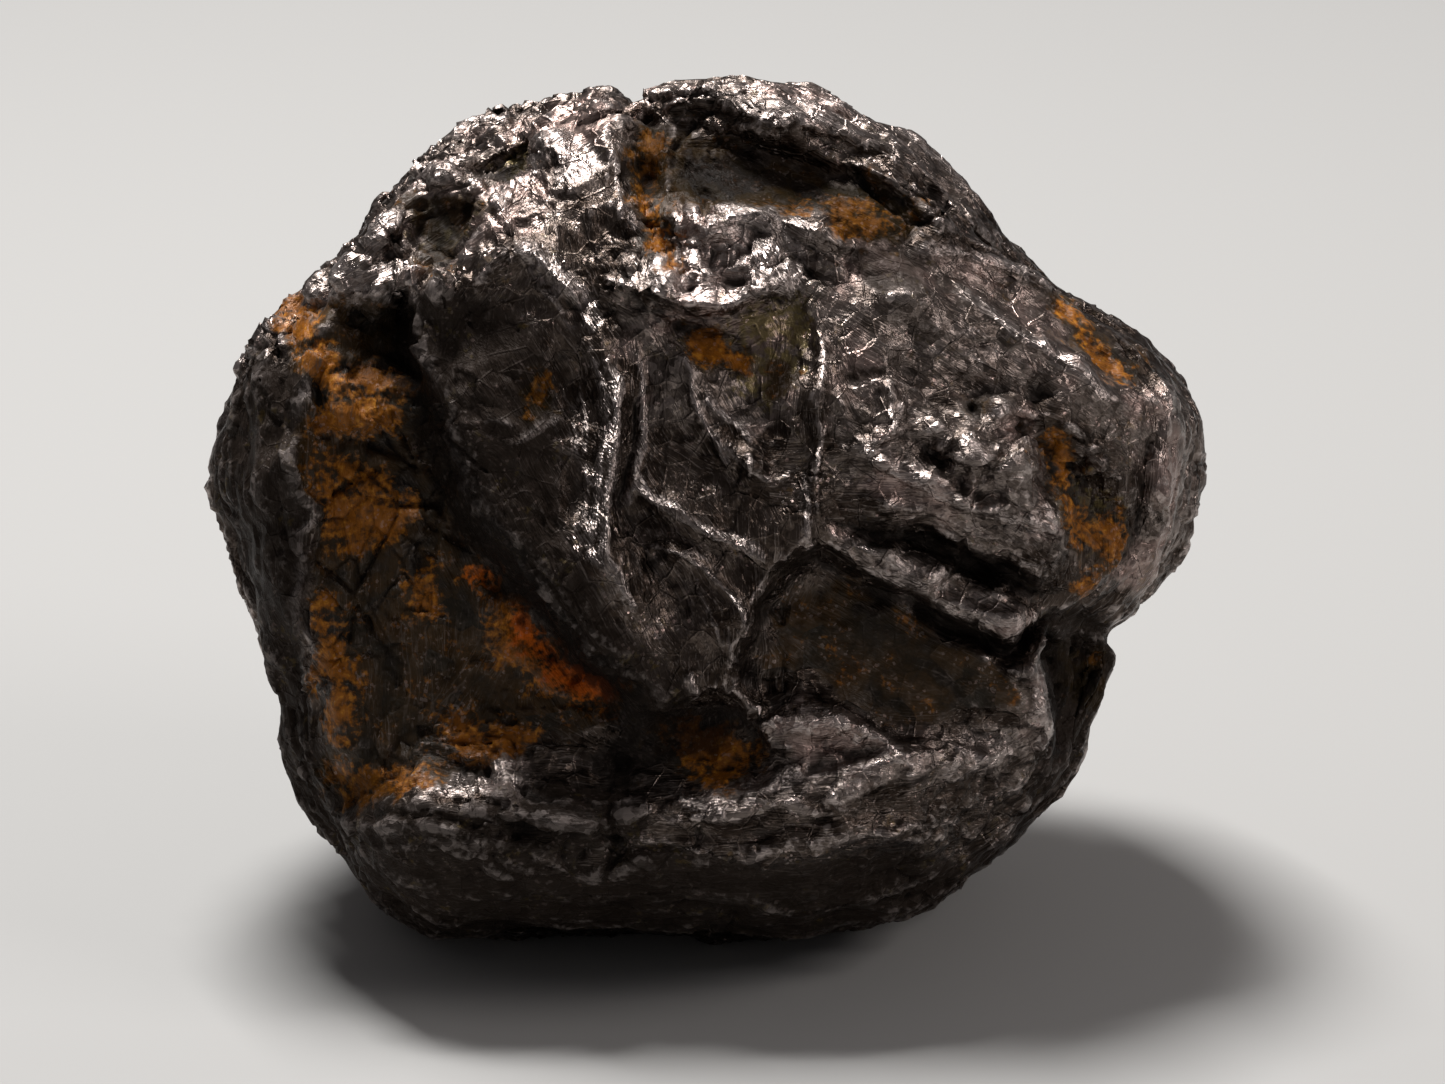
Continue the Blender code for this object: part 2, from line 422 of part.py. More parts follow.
def sculpt(mesh):
    """Turns a unit sphere into the lump, in millimetres of (u, v, w)."""
    direction = read_points(mesh)
    direction /= np.linalg.norm(direction, axis=1)[:, None]
    plain = plain_lump(direction)
    drawn = plain + wandering(plain, CROOKEDNESS)
    outward = outward_of(plain, mesh)
    near = carve(plain, drawn, direction[:, 2], outward, (PLATES, FOLDS, LUMPS), side=1)
    far = carve(plain, drawn, -direction[:, 2], outward, (BACK_PLATES, BACK_FOLDS, BACK_LUMPS), side=-1)
    skin = outward * (leaf_ledges(plain, outward) + dents(plain, DENTS))[:, None]
    write_points(mesh, plain + near + far + skin)


def thin_out(obj):
    """Keeps the triangles where the surface bends most."""
    thinning = obj.modifiers.new("fewer triangles", "DECIMATE")
    thinning.ratio = TRIANGLES / len(obj.data.polygons)
    graph = bpy.context.evaluated_depsgraph_get()
    thinned = bpy.data.meshes.new_from_object(obj.evaluated_get(graph))
    obj.modifiers.clear()
    obj.data = thinned


def stand_up(obj):
    """Turns the drawing's (u, v, w) into metres upright, and leans the lump back on its origin's spot."""
    u, v, w = read_points(obj.data).T * MM
    upright = np.column_stack([u, -w, v])
    write_points(obj.data, upright)
    obj.rotation_euler.x = -FACE_LEAN
    leaning = upright @ np.array(obj.rotation_euler.to_matrix()).T
    low, high = leaning.min(axis=0), leaning.max(axis=0)
    obj.location = (-(low[0] + high[0]) / 2, -(low[1] + high[1]) / 2, -low[2] - RUBBED_FLAT * MM)
    bpy.context.view_layer.update()


def rub_flat(obj):
    """Cuts the underside off level with the ground."""
    to_local = obj.matrix_world.inverted()
    ground = to_local @ Vector((0, 0, 0))
    down = to_local.to_3x3() @ Vector((0, 0, -1))
    bm = bmesh.new()
    bm.from_mesh(obj.data)
    everything = bm.verts[:] + bm.edges[:] + bm.faces[:]
    cut = bmesh.ops.bisect_plane(
        bm, geom=everything, plane_co=ground, plane_no=down, clear_outer=True, dist=0
    )
    rim = [e for e in cut["geom_cut"] if isinstance(e, bmesh.types.BMEdge)]
    bmesh.ops.contextual_create(bm, geom=rim)
    bmesh.ops.triangulate(bm, faces=bm.faces[:])
    bm.to_mesh(obj.data)
    bm.free()


def molybdenite_material():
    material = bpy.data.materials.new("molybdenite")
    material.use_nodes = True
    shader = material.node_tree.nodes["Principled BSDF"]
    shader.inputs["Base Color"].default_value = (0.115, 0.098, 0.102, 1)
    shader.inputs["Metallic"].default_value = 0.75
    shader.inputs["Roughness"].default_value = 0.42
    return material


def make_crystal():
    bpy.ops.mesh.primitive_ico_sphere_add(subdivisions=SPHERE_SUBDIVISIONS, radius=1)
    crystal = bpy.context.object
    crystal.name = crystal.data.name = "molybdenite"
    collection = bpy.data.collections.new("molybdenite crystal")
    bpy.context.scene.collection.children.link(collection)
    collection.objects.link(crystal)
    bpy.context.collection.objects.unlink(crystal)
    sculpt(crystal.data)
    thin_out(crystal)
    stand_up(crystal)
    rub_flat(crystal)
    crystal.data.materials.append(molybdenite_material())
    return crystal


def main():
    clear_scene()
    make_crystal()


main()
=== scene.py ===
"""The looks of a molybdenite crystal: a rounded lump of foliated, lead-grey mineral with rusty hollows.

Its broad cleavage face leans back by FACE_LEAN and is drawn square on, in millimetres: u runs to the
right, v up the face and w out of it. The lump is sculpted from a sphere in that drawing, first in the
forms of the CAD solid and then in its fine folds, scales and leaf edges, and stands in the solid's place.
"""

import math
from collections import namedtuple
from itertools import product

import bmesh
import bpy
import numpy as np
from mathutils import Matrix, Vector, noise
from mathutils.kdtree import KDTree


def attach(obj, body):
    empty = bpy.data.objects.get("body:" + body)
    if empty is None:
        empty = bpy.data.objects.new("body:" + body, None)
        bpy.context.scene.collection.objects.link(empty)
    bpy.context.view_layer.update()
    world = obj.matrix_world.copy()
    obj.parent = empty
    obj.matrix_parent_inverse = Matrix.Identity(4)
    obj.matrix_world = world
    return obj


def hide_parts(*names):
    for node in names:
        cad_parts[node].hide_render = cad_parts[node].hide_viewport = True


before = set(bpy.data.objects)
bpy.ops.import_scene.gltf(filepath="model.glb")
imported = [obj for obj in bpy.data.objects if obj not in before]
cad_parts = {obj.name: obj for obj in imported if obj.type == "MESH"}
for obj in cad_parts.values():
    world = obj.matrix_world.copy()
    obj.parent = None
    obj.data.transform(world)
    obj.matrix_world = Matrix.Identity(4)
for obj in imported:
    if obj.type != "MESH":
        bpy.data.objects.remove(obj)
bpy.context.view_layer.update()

MM = 0.001

# The main forms, as in the CAD solid, in millimetres. The plain lump is thinner than its outline by SKIN,
# because folds and relief stand out of it.
FRONT_DEPTH = 8.6
BACK_DEPTH = 10.4
SQUARENESS = 2.6
FACE_LEAN = math.radians(20)
SKIN = 0.45
MIDDLE = (0.0, 13.2)
# Where the drawing's origin comes in the frame.
SEAT = (0.152, -4.569, 0.001)

# How fine the sphere is that the lump is sculpted from, how often it is smoothed to tell ridges from
# hollows, how many triangles are kept of it, and how much the near face is favoured, in how many steps.
SUBDIVISIONS = 9
SMOOTHINGS = 48
TRIANGLES = 196000
NEARNESS = 0.0004
THINNING_STEPS = 10

# The outline of the face, anticlockwise from its right.
OUTLINE = (
    (15.0, 15.0), (14.7, 16.3), (14.0, 17.5), (13.2, 18.5), (12.3, 19.2), (11.2, 19.9), (10.1, 20.6),
    (9.1, 21.5), (8.1, 22.8), (6.6, 24.0), (5.0, 24.9), (3.6, 25.7), (2.2, 26.2), (0.6, 26.4),
    (-0.9, 26.3), (-2.0, 25.8), (-3.1, 26.3), (-4.5, 26.0), (-6.0, 25.4), (-7.6, 24.6), (-8.8, 24.0),
    (-9.9, 22.9), (-11.1, 21.75), (-12.3, 20.4), (-13.6, 18.8), (-14.4, 17.2), (-14.8, 15.6), (-15.1, 14.0),
    (-14.7, 12.4), (-14.4, 10.8), (-13.7, 9.1), (-13.2, 7.6), (-13.0, 6.0), (-12.6, 4.8), (-11.8, 3.2),
    (-10.9, 1.7), (-9.9, 0.7), (-8.7, 0.1), (-6.5, 0.0), (-4.0, 0.0), (-1.0, 0.0), (2.0, 0.0),
    (5.0, 0.4), (7.0, 1.1), (8.6, 2.2), (9.7, 3.3), (10.6, 4.3), (11.2, 5.3), (11.6, 6.4),
    (12.0, 7.8), (12.2, 9.0), (12.4, 9.6), (13.2, 10.2), (13.9, 11.1), (14.5, 12.4), (14.9, 13.7),
)

# A plate is a plane through a place (u, v, w) with its slopes along u and v, cut inside its corners. A
# fold is a ridge along its points, or a groove where its height is below 0, with a width for the flank on
# its left and on its right. A lump, or a pit, has a place and a radius, and a stain only its corners.
Plate = namedtuple("Plate", "name at slope edge corners")
Fold = namedtuple("Fold", "name height flanks points")
Lump = namedtuple("Lump", "name at radius height")
Stain = namedtuple("Stain", "name corners")

PLATES = (
    Plate("left valley floor", at=(-8.0, 11.0, 6.0), slope=(0.17, 0.02), edge=1.3, corners=(
        (-11.9, 19.0), (-9.3, 18.9), (-9.1, 16.8), (-8.3, 14.5), (-6.9, 12.4), (-5.4, 10.5), (-3.6, 8.5),
        (-1.9, 6.4),
        (-4.2, 5.4), (-8.8, 5.2), (-11.6, 4.5), (-11.9, 8.0), (-12.1, 11.0), (-11.7, 14.0),
        (-12.2, 17.0))),
    Plate("trench above the bottom roll", at=(-2.0, 6.0, 6.6), slope=(0.1, 0.0), edge=0.9, corners=(
        (-9.0, 6.4), (-4.0, 6.6), (-1.6, 6.9), (0.6, 7.4), (1.7, 7.0), (1.6, 5.8), (0.2, 5.2),
        (-2.8, 4.8), (-6.0, 5.3))),
    Plate("lower right recess", at=(5.6, 8.6, 7.05), slope=(-0.06, -0.08), edge=0.7, corners=(
        (3.0, 12.0), (4.5, 11.2), (5.6, 10.7), (6.4, 10.5), (7.6, 9.5), (8.9, 9.0), (9.4, 7.8),
        (9.2, 6.6), (7.6, 6.1), (5.4, 6.3), (4.6, 6.8), (3.9, 7.4), (2.1, 7.2), (1.2, 8.4), (2.1, 10.7))),
    Plate("groove under the brow", at=(7.0, 11.9, 6.9), slope=(-0.35, 0.1), edge=0.7, corners=(
        (3.4, 13.0), (5.5, 12.9), (7.2, 12.4), (8.6, 11.8), (9.8, 10.9), (11.6, 10.2), (11.4, 9.6),
        (9.7, 9.6), (8.9, 10.8), (7.4, 11.4), (6.2, 11.9), (4.4, 12.5))),
    Plate("body behind the lobe", at=(10.5, 6.5, 3.0), slope=(-1.5, 0.1), edge=0.8, corners=(
        (9.9, 8.8), (10.1, 7.2), (9.9, 5.4), (9.2, 4.0), (8.2, 2.6), (9.2, 1.4), (11.8, 3.8), (12.9, 7.2),
        (12.9, 9.4), (11.2, 9.2))),
    Plate("right rusty hollow", at=(10.9, 13.4, 5.7), slope=(-0.4, 0.05), edge=1.0, corners=(
        (9.0, 15.3), (10.6, 15.0), (11.5, 14.2), (12.3, 12.9), (12.3, 12.0), (11.5, 11.4), (10.8, 12.2),
        (10.3, 13.3), (9.6, 14.2))),
    Plate("upper right hollow", at=(11.3, 18.3, 4.3), slope=(-0.55, -0.25), edge=0.9, corners=(
        (10.0, 19.6), (10.9, 19.4), (11.9, 18.4), (12.9, 17.0), (11.4, 17.5), (10.5, 18.0))),
    Plate("band under the top rim", at=(1.2, 22.9, 5.5), slope=(-0.16, -1.15), edge=0.9, corners=(
        (-2.6, 24.6), (-0.6, 24.5), (1.6, 24.0), (3.6, 23.4), (5.4, 22.5), (6.6, 21.4), (5.0, 20.9),
        (3.2, 21.2), (1.6, 21.9), (-0.4, 22.0), (-1.6, 20.6), (-2.6, 21.2), (-2.8, 23.0))),
    Plate("olive hollow", at=(0.9, 17.9, 7.85), slope=(0.02, -0.34), edge=0.9, corners=(
        (-1.3, 18.5), (0.6, 18.5), (1.4, 19.2), (2.7, 19.4), (2.8, 18.0), (2.3, 16.8), (1.3, 16.5),
        (0.3, 17.0), (-0.7, 17.5))),
    Plate("cave at the top left", at=(-9.6, 18.5, 4.5), slope=(-0.5, -0.5), edge=0.9, corners=(
        (-11.5, 19.2), (-10.6, 19.7), (-9.9, 19.3), (-9.3, 19.7), (-8.9, 19.2), (-9.2, 18.4),
        (-9.0, 17.6), (-9.5, 17.4), (-10.2, 17.8), (-11.0, 18.0))),
    Plate("rusty block in the valley", at=(-10.1, 16.5, 6.3), slope=(0.1, -0.25), edge=0.8, corners=(
        (-11.2, 16.9), (-10.3, 17.3), (-9.3, 17.4), (-9.0, 16.4), (-9.6, 15.7), (-11.0, 15.7))),
    Plate("hollow on the left shoulder", at=(-8.0, 21.3, 4.9), slope=(0.3, -0.4), edge=0.8, corners=(
        (-9.3, 22.3), (-8.2, 22.5), (-7.1, 22.4), (-7.0, 21.6), (-7.5, 20.6), (-8.1, 19.9), (-8.7, 20.6),
        (-9.0, 21.4))),
    Plate("pit on the left shoulder", at=(-6.1, 23.5, 3.4), slope=(0.3, -0.6), edge=0.8, corners=(
        (-6.6, 24.0), (-5.5, 24.1), (-5.5, 23.1), (-6.1, 22.9), (-6.9, 23.3))),
)

FOLDS = (
    Fold("wall left of the tongue", -0.9, (0.8, 0.4), (
        (-2.0, 6.9), (-3.3, 8.4), (-4.9, 10.1), (-6.4, 11.9), (-7.9, 14.0), (-8.9, 16.4), (-9.0, 18.4))),
    Fold("left rim", 0.6, (1.2, 0.9), (
        (-12.6, 19.2), (-13.2, 16.8), (-13.3, 14.0), (-13.1, 11.0), (-12.6, 8.0), (-12.3, 5.4),
        (-11.2, 3.6))),
    Fold("left rim shoulder", 0.4, (0.5, 0.8), (
        (-12.3, 17.6), (-11.9, 15.6), (-12.3, 14.3), (-12.0, 12.6))),
    Fold("bottom roll", 1.3, (2.1, 1.3), (
        (9.2, 4.4), (6.2, 4.2), (3.2, 3.6), (0.0, 3.2), (-3.0, 2.9), (-6.0, 2.9), (-9.0, 3.1),
        (-11.2, 3.0))),
    Fold("top of the bottom roll", 0.8, (0.9, 0.45), (
        (9.0, 5.2), (6.2, 5.6), (3.2, 5.1), (0.0, 4.6), (-3.0, 4.3), (-6.0, 4.4), (-9.0, 4.5),
        (-11.4, 4.0))),
    Fold("rope along the roll", 0.55, (0.3, 0.25), (
        (-2.9, 4.2), (-4.0, 4.4), (-5.4, 4.7), (-6.4, 5.1), (-7.3, 5.3), (-8.8, 5.4))),
    Fold("roll, right ledge", 0.5, (0.8, 0.3), (
        (9.0, 5.9), (8.0, 5.9), (7.0, 6.0), (5.8, 6.1), (4.8, 6.0), (3.7, 5.6), (2.2, 5.3), (0.0, 5.0),
        (-2.6, 4.6))),
    Fold("roll, upper leaf", 0.55, (0.8, 0.25), (
        (6.4, 6.3), (5.2, 6.3), (4.4, 6.9), (3.8, 7.4), (2.8, 7.3), (1.8, 7.2), (1.2, 6.8))),
    Fold("split in the roll", -0.45, (0.18, 0.18), ((-2.7, 5.2), (-2.9, 4.4), (-2.9, 3.4), (-2.7, 2.8))),
    Fold("roll, lower ledge", 0.4, (0.5, 0.25), (
        (8.6, 3.6), (6.4, 3.6), (4.6, 4.1), (2.2, 3.8), (0.2, 3.5), (-2.4, 3.6))),
    Fold("roll, left ledge", 0.4, (0.5, 0.25), (
        (-4.0, 3.7), (-6.2, 3.6), (-8.0, 3.9), (-9.8, 3.8), (-11.4, 4.2))),
    Fold("roll, foot", 0.35, (0.6, 0.3), ((6.0, 2.2), (3.4, 1.9), (0.8, 2.0), (-2.4, 1.9), (-4.8, 1.9))),
    Fold("tongue, left edge", 0.4, (0.7, 1.8), (
        (-1.6, 7.4), (-2.9, 9.0), (-4.5, 11.0), (-6.1, 13.0), (-7.5, 15.0), (-8.3, 17.0), (-8.3, 18.8))),
    Fold("tongue, right edge", 0.4, (1.5, 0.35), (
        (0.6, 7.6), (1.5, 9.4), (2.3, 11.0), (3.0, 12.6), (3.1, 14.6), (3.1, 17.0), (3.0, 19.2))),
    Fold("tongue, main fold", 0.6, (0.45, 0.6), (
        (-3.7, 19.2), (-3.3, 17.4), (-2.8, 15.4), (-2.5, 13.4), (-2.4, 11.4), (-2.1, 9.6))),
    Fold("tongue, second fold", 0.3, (0.4, 0.5), (
        (-1.2, 18.4), (-0.5, 16.8), (0.2, 15.4), (1.4, 14.6), (2.4, 13.9))),
    Fold("tongue, third fold", 0.4, (0.45, 0.3), (
        (-2.0, 17.2), (-1.8, 15.2), (-1.2, 13.7), (0.2, 12.6), (0.9, 11.2))),
    Fold("tongue, fourth fold", 0.3, (0.35, 0.3), ((-1.4, 12.3), (-0.4, 11.8), (0.6, 10.8), (1.1, 9.4))),
    Fold("tongue, valley", -0.45, (0.5, 0.6), (
        (-2.2, 17.8), (-1.9, 15.2), (-1.7, 12.8), (-1.2, 10.6), (-0.8, 9.0))),
    Fold("tongue, left dent", -0.35, (0.7, 0.5), (
        (-4.9, 18.4), (-4.4, 16.6), (-3.9, 14.6), (-3.4, 12.6))),
    Fold("tongue, top fold", 0.6, (0.5, 0.6), (
        (-7.2, 19.1), (-5.9, 20.3), (-5.2, 20.4), (-4.6, 19.7), (-4.0, 19.0))),
    Fold("ledge across the middle", 1.15, (0.35, 1.2), (
        (2.8, 19.7), (1.6, 19.6), (0.6, 19.0), (-0.6, 18.9), (-1.8, 19.2), (-2.9, 19.5), (-3.7, 20.2))),
    Fold("brow over the ledge", 0.55, (0.8, 0.4), (
        (-1.0, 20.9), (-0.3, 21.6), (0.5, 21.4), (1.2, 21.8), (2.2, 21.6), (2.9, 21.1), (4.0, 20.8),
        (5.2, 20.8))),
    Fold("hollow beside the brow", -0.6, (0.8, 0.6), (
        (-2.0, 23.8), (-2.0, 22.3), (-1.6, 21.2), (-1.3, 20.6))),
    Fold("top rim", 0.8, (0.4, 1.1), (
        (6.4, 22.0), (5.4, 23.2), (4.0, 24.0), (2.2, 24.5), (0.0, 24.9), (-1.6, 25.0), (-3.0, 25.1),
        (-4.6, 24.8))),
    Fold("top rim, outer leaf", 0.35, (0.25, 0.6), (
        (9.4, 20.1), (8.3, 21.2), (7.0, 22.3), (5.6, 23.4), (4.0, 24.4), (2.0, 25.1), (-0.6, 25.5))),
    Fold("top notch", -0.8, (0.7, 0.6), ((-1.9, 26.4), (-2.0, 25.8), (-2.4, 25.2), (-3.0, 24.7))),
    Fold("ledge under the rim", 0.7, (0.3, 0.6), (
        (7.6, 20.9), (6.4, 21.6), (5.8, 22.2), (5.0, 22.6), (4.2, 22.6))),
    Fold("right shoulder, upper", 0.6, (0.4, 0.8), (
        (10.4, 19.5), (9.4, 19.8), (8.2, 20.5), (7.0, 20.9), (5.8, 21.2))),
    Fold("right shoulder crack", -0.6, (0.25, 0.3), (
        (10.0, 19.8), (9.2, 20.4), (8.4, 20.9), (7.6, 21.6))),
    Fold("right shoulder, broad", 0.8, (0.9, 0.8), (
        (13.4, 16.2), (12.0, 16.8), (10.6, 17.4), (9.2, 18.2), (7.6, 19.1), (5.8, 19.5), (4.4, 20.2))),
    Fold("right shoulder, under", -0.6, (0.8, 0.8), (
        (10.8, 16.0), (9.2, 16.4), (7.8, 16.7), (6.4, 17.2), (5.0, 17.5))),
    Fold("brow over the groove", 0.7, (0.5, 1.0), (
        (11.2, 12.2), (10.0, 12.9), (8.6, 13.5), (7.2, 13.8), (6.0, 14.3), (4.8, 14.9), (3.3, 15.0))),
    Fold("brow, lower lip", 0.4, (0.5, 0.7), (
        (10.6, 11.2), (9.6, 12.2), (8.0, 12.9), (6.0, 13.3), (3.6, 13.3))),
    Fold("lumpy ridge in the groove", 0.3, (0.5, 0.5), (
        (9.2, 10.0), (8.4, 10.1), (7.5, 10.5), (6.8, 11.0), (5.9, 11.4), (5.0, 11.9), (3.8, 12.4))),
    Fold("crack to the notch", -0.6, (0.22, 0.22), (
        (11.8, 9.7), (11.0, 9.6), (10.0, 9.6), (9.2, 9.2), (8.4, 9.1), (7.7, 9.4), (6.9, 9.9),
        (6.3, 10.5), (5.4, 10.7), (4.5, 11.1), (3.2, 11.6))),
    Fold("gap behind the lobe", -0.5, (0.3, 0.3), ((10.0, 9.3), (10.4, 8.4), (10.5, 7.2), (10.2, 6.0))),
    Fold("notch on the right", -0.25, (0.4, 0.4), ((13.2, 9.2), (12.4, 9.5), (11.6, 9.6), (10.8, 9.7))),
    Fold("recess, right rim", 0.7, (0.7, 0.6), (
        (9.1, 5.4), (9.8, 6.4), (9.9, 7.4), (9.4, 8.4), (8.5, 9.0))),
    Fold("right rim", 0.6, (0.8, 0.9), (
        (12.6, 10.6), (13.4, 12.4), (13.5, 14.2), (13.4, 15.8), (12.8, 17.2))),
    Fold("right rim crease", -0.35, (0.3, 0.3), ((12.9, 11.8), (12.8, 13.2), (13.0, 14.6), (12.9, 15.8))),
    Fold("facet edge, left", 0.3, (0.25, 0.7), ((3.4, 17.2), (3.8, 16.2), (4.5, 15.2))),
    Fold("facet edge, right", 0.4, (0.3, 0.7), ((5.1, 17.2), (5.15, 16.2), (5.1, 15.0))),
)

LUMPS = (
    Lump("bright lump on the roll", (-8.2, 5.5), 0.8, 0.8),
    Lump("small lump on the roll", (-6.3, 5.5), 0.45, 0.7),
    Lump("valley knob", (-6.2, 10.4), 0.6, 0.6),
    Lump("left shoulder, outer", (-8.3, 23.3), 0.8, 0.5),
    Lump("left shoulder, upper", (-6.7, 24.4), 0.7, 0.5),
    Lump("left shoulder, inner", (-7.6, 23.0), 0.5, 0.5),
    Lump("left shoulder pit", (-7.8, 23.6), 0.35, -0.7),
    Lump("pale facet", (-4.9, 23.9), 0.7, 0.8),
    Lump("knuckle under the facet", (-6.3, 22.0), 0.5, 0.4),
    Lump("rim knuckle, upper", (-9.4, 21.4), 0.6, 0.6),
    Lump("rim knuckle, bright", (-10.4, 20.4), 0.8, 0.8),
    Lump("rim knuckle, lower", (-11.5, 19.9), 0.6, 0.6),
    Lump("rim knuckle, inner", (-8.6, 20.3), 0.5, 0.5),
    Lump("lump at the cave's mouth", (-7.8, 19.8), 0.55, 0.7),
    Lump("left rim lump", (-12.8, 18.4), 0.7, 0.5),
    Lump("left rim knuckle", (-12.6, 14.8), 0.6, 0.4),
    Lump("left rim hollow", (-13.3, 12.6), 0.7, -0.3),
    Lump("bright cluster, left", (-1.5, 19.9), 0.5, 0.6),
    Lump("bright cluster, right", (-0.3, 20.1), 0.5, 0.5),
    Lump("brow knuckle", (0.0, 21.3), 0.5, 0.4),
    Lump("block on the right", (7.4, 14.9), 0.8, 0.7),
    Lump("block's shadow", (6.2, 15.0), 0.35, -0.4),
    Lump("block's foot", (7.5, 14.0), 0.35, -0.4),
    Lump("lump left of the block", (6.5, 15.7), 0.45, 0.5),
    Lump("lump right of the block", (8.8, 16.0), 0.5, 0.6),
    Lump("lump under the block", (8.8, 14.4), 0.6, 0.6),
    Lump("rusty hole", (7.9, 16.0), 0.35, -0.45),
    Lump("tongue knob", (1.3, 14.7), 0.5, 0.4),
    Lump("ridge lump, left", (6.3, 11.0), 0.5, 0.4),
    Lump("ridge lump, right", (8.5, 10.0), 0.55, 0.5),
    Lump("hole in the crack", (9.2, 9.3), 0.35, -0.9),
    Lump("knob in the crack", (9.8, 9.2), 0.35, 0.6),
    Lump("lump at the notch", (11.7, 9.3), 0.5, 0.5),
    Lump("hole in the trench", (-2.7, 5.3), 0.6, -0.7),
)

BACK_PLATES = (
    Plate("upper cleavage step", at=(0.0, 19.6, 9.0), slope=(-0.03, -0.14), edge=0.9, corners=(
        (-8.2, 27.0), (0.0, 29.0), (8.6, 26.0), (8.2, 18.2), (3.4, 16.4), (-3.2, 17.2), (-7.6, 19.4))),
    Plate("left hand step", at=(-8.6, 10.6, 8.5), slope=(0.16, 0.03), edge=1.1, corners=(
        (-16.0, 14.4), (-8.0, 14.2), (-4.6, 12.4), (-3.8, 8.8), (-6.0, 4.6), (-8.0, 0.0), (-16.0, 0.0))),
    Plate("right hand step", at=(8.0, 10.2, 8.7), slope=(-0.14, 0.04), edge=0.9, corners=(
        (4.2, 12.6), (9.4, 13.8), (16.0, 13.0), (16.0, 4.0), (8.0, 1.0), (4.6, 4.6), (2.8, 9.4))),
)
BACK_FOLDS = (
    Fold("back seam", 0.8, (0.9, 0.5), (
        (-11.6, 15.6), (-7.4, 15.0), (-2.6, 14.9), (2.2, 14.3), (7.2, 15.4), (12.4, 15.0))),
    Fold("back rib", 0.7, (0.8, 0.6), ((-2.6, 13.6), (-0.8, 10.6), (0.0, 7.4), (-0.4, 4.2))),
    Fold("back crack", -0.7, (0.35, 0.35), ((-5.4, 24.2), (-4.2, 21.6), (-4.6, 18.8), (-3.2, 16.8))),
    Fold("back roll", 0.9, (0.6, 1.4), ((-10.4, 4.6), (-5.2, 3.7), (0.6, 3.6), (6.4, 4.2), (9.6, 6.2))),
    Fold("back fold, left", 0.5, (0.6, 0.5), ((-12.4, 11.0), (-11.2, 8.0), (-10.2, 5.8))),
    Fold("back fold, right", 0.6, (0.5, 0.8), ((9.8, 18.2), (11.2, 14.8), (11.0, 11.6), (9.4, 8.2))),
    Fold("back pleat", 0.4, (0.4, 0.5), ((0.4, 22.6), (2.2, 20.4), (3.0, 18.0), (2.6, 15.8))),
    Fold("back pleat, second", 0.4, (0.5, 0.4), ((-6.0, 12.2), (-5.8, 9.8), (-7.2, 7.2))),
)
BACK_LUMPS = (
    Lump("back knob", (-8.6, 20.2), 1.1, 0.6),
    Lump("back knob, right", (8.4, 20.0), 1.0, 0.5),
    Lump("back knuckle", (4.6, 4.9), 0.9, 0.5),
    Lump("back pit", (-1.0, 8.8), 0.6, -0.6),
    Lump("back pit, upper", (5.6, 17.0), 0.5, -0.6),
    Lump("back knuckle, left", (-11.4, 13.4), 0.8, 0.5),
)

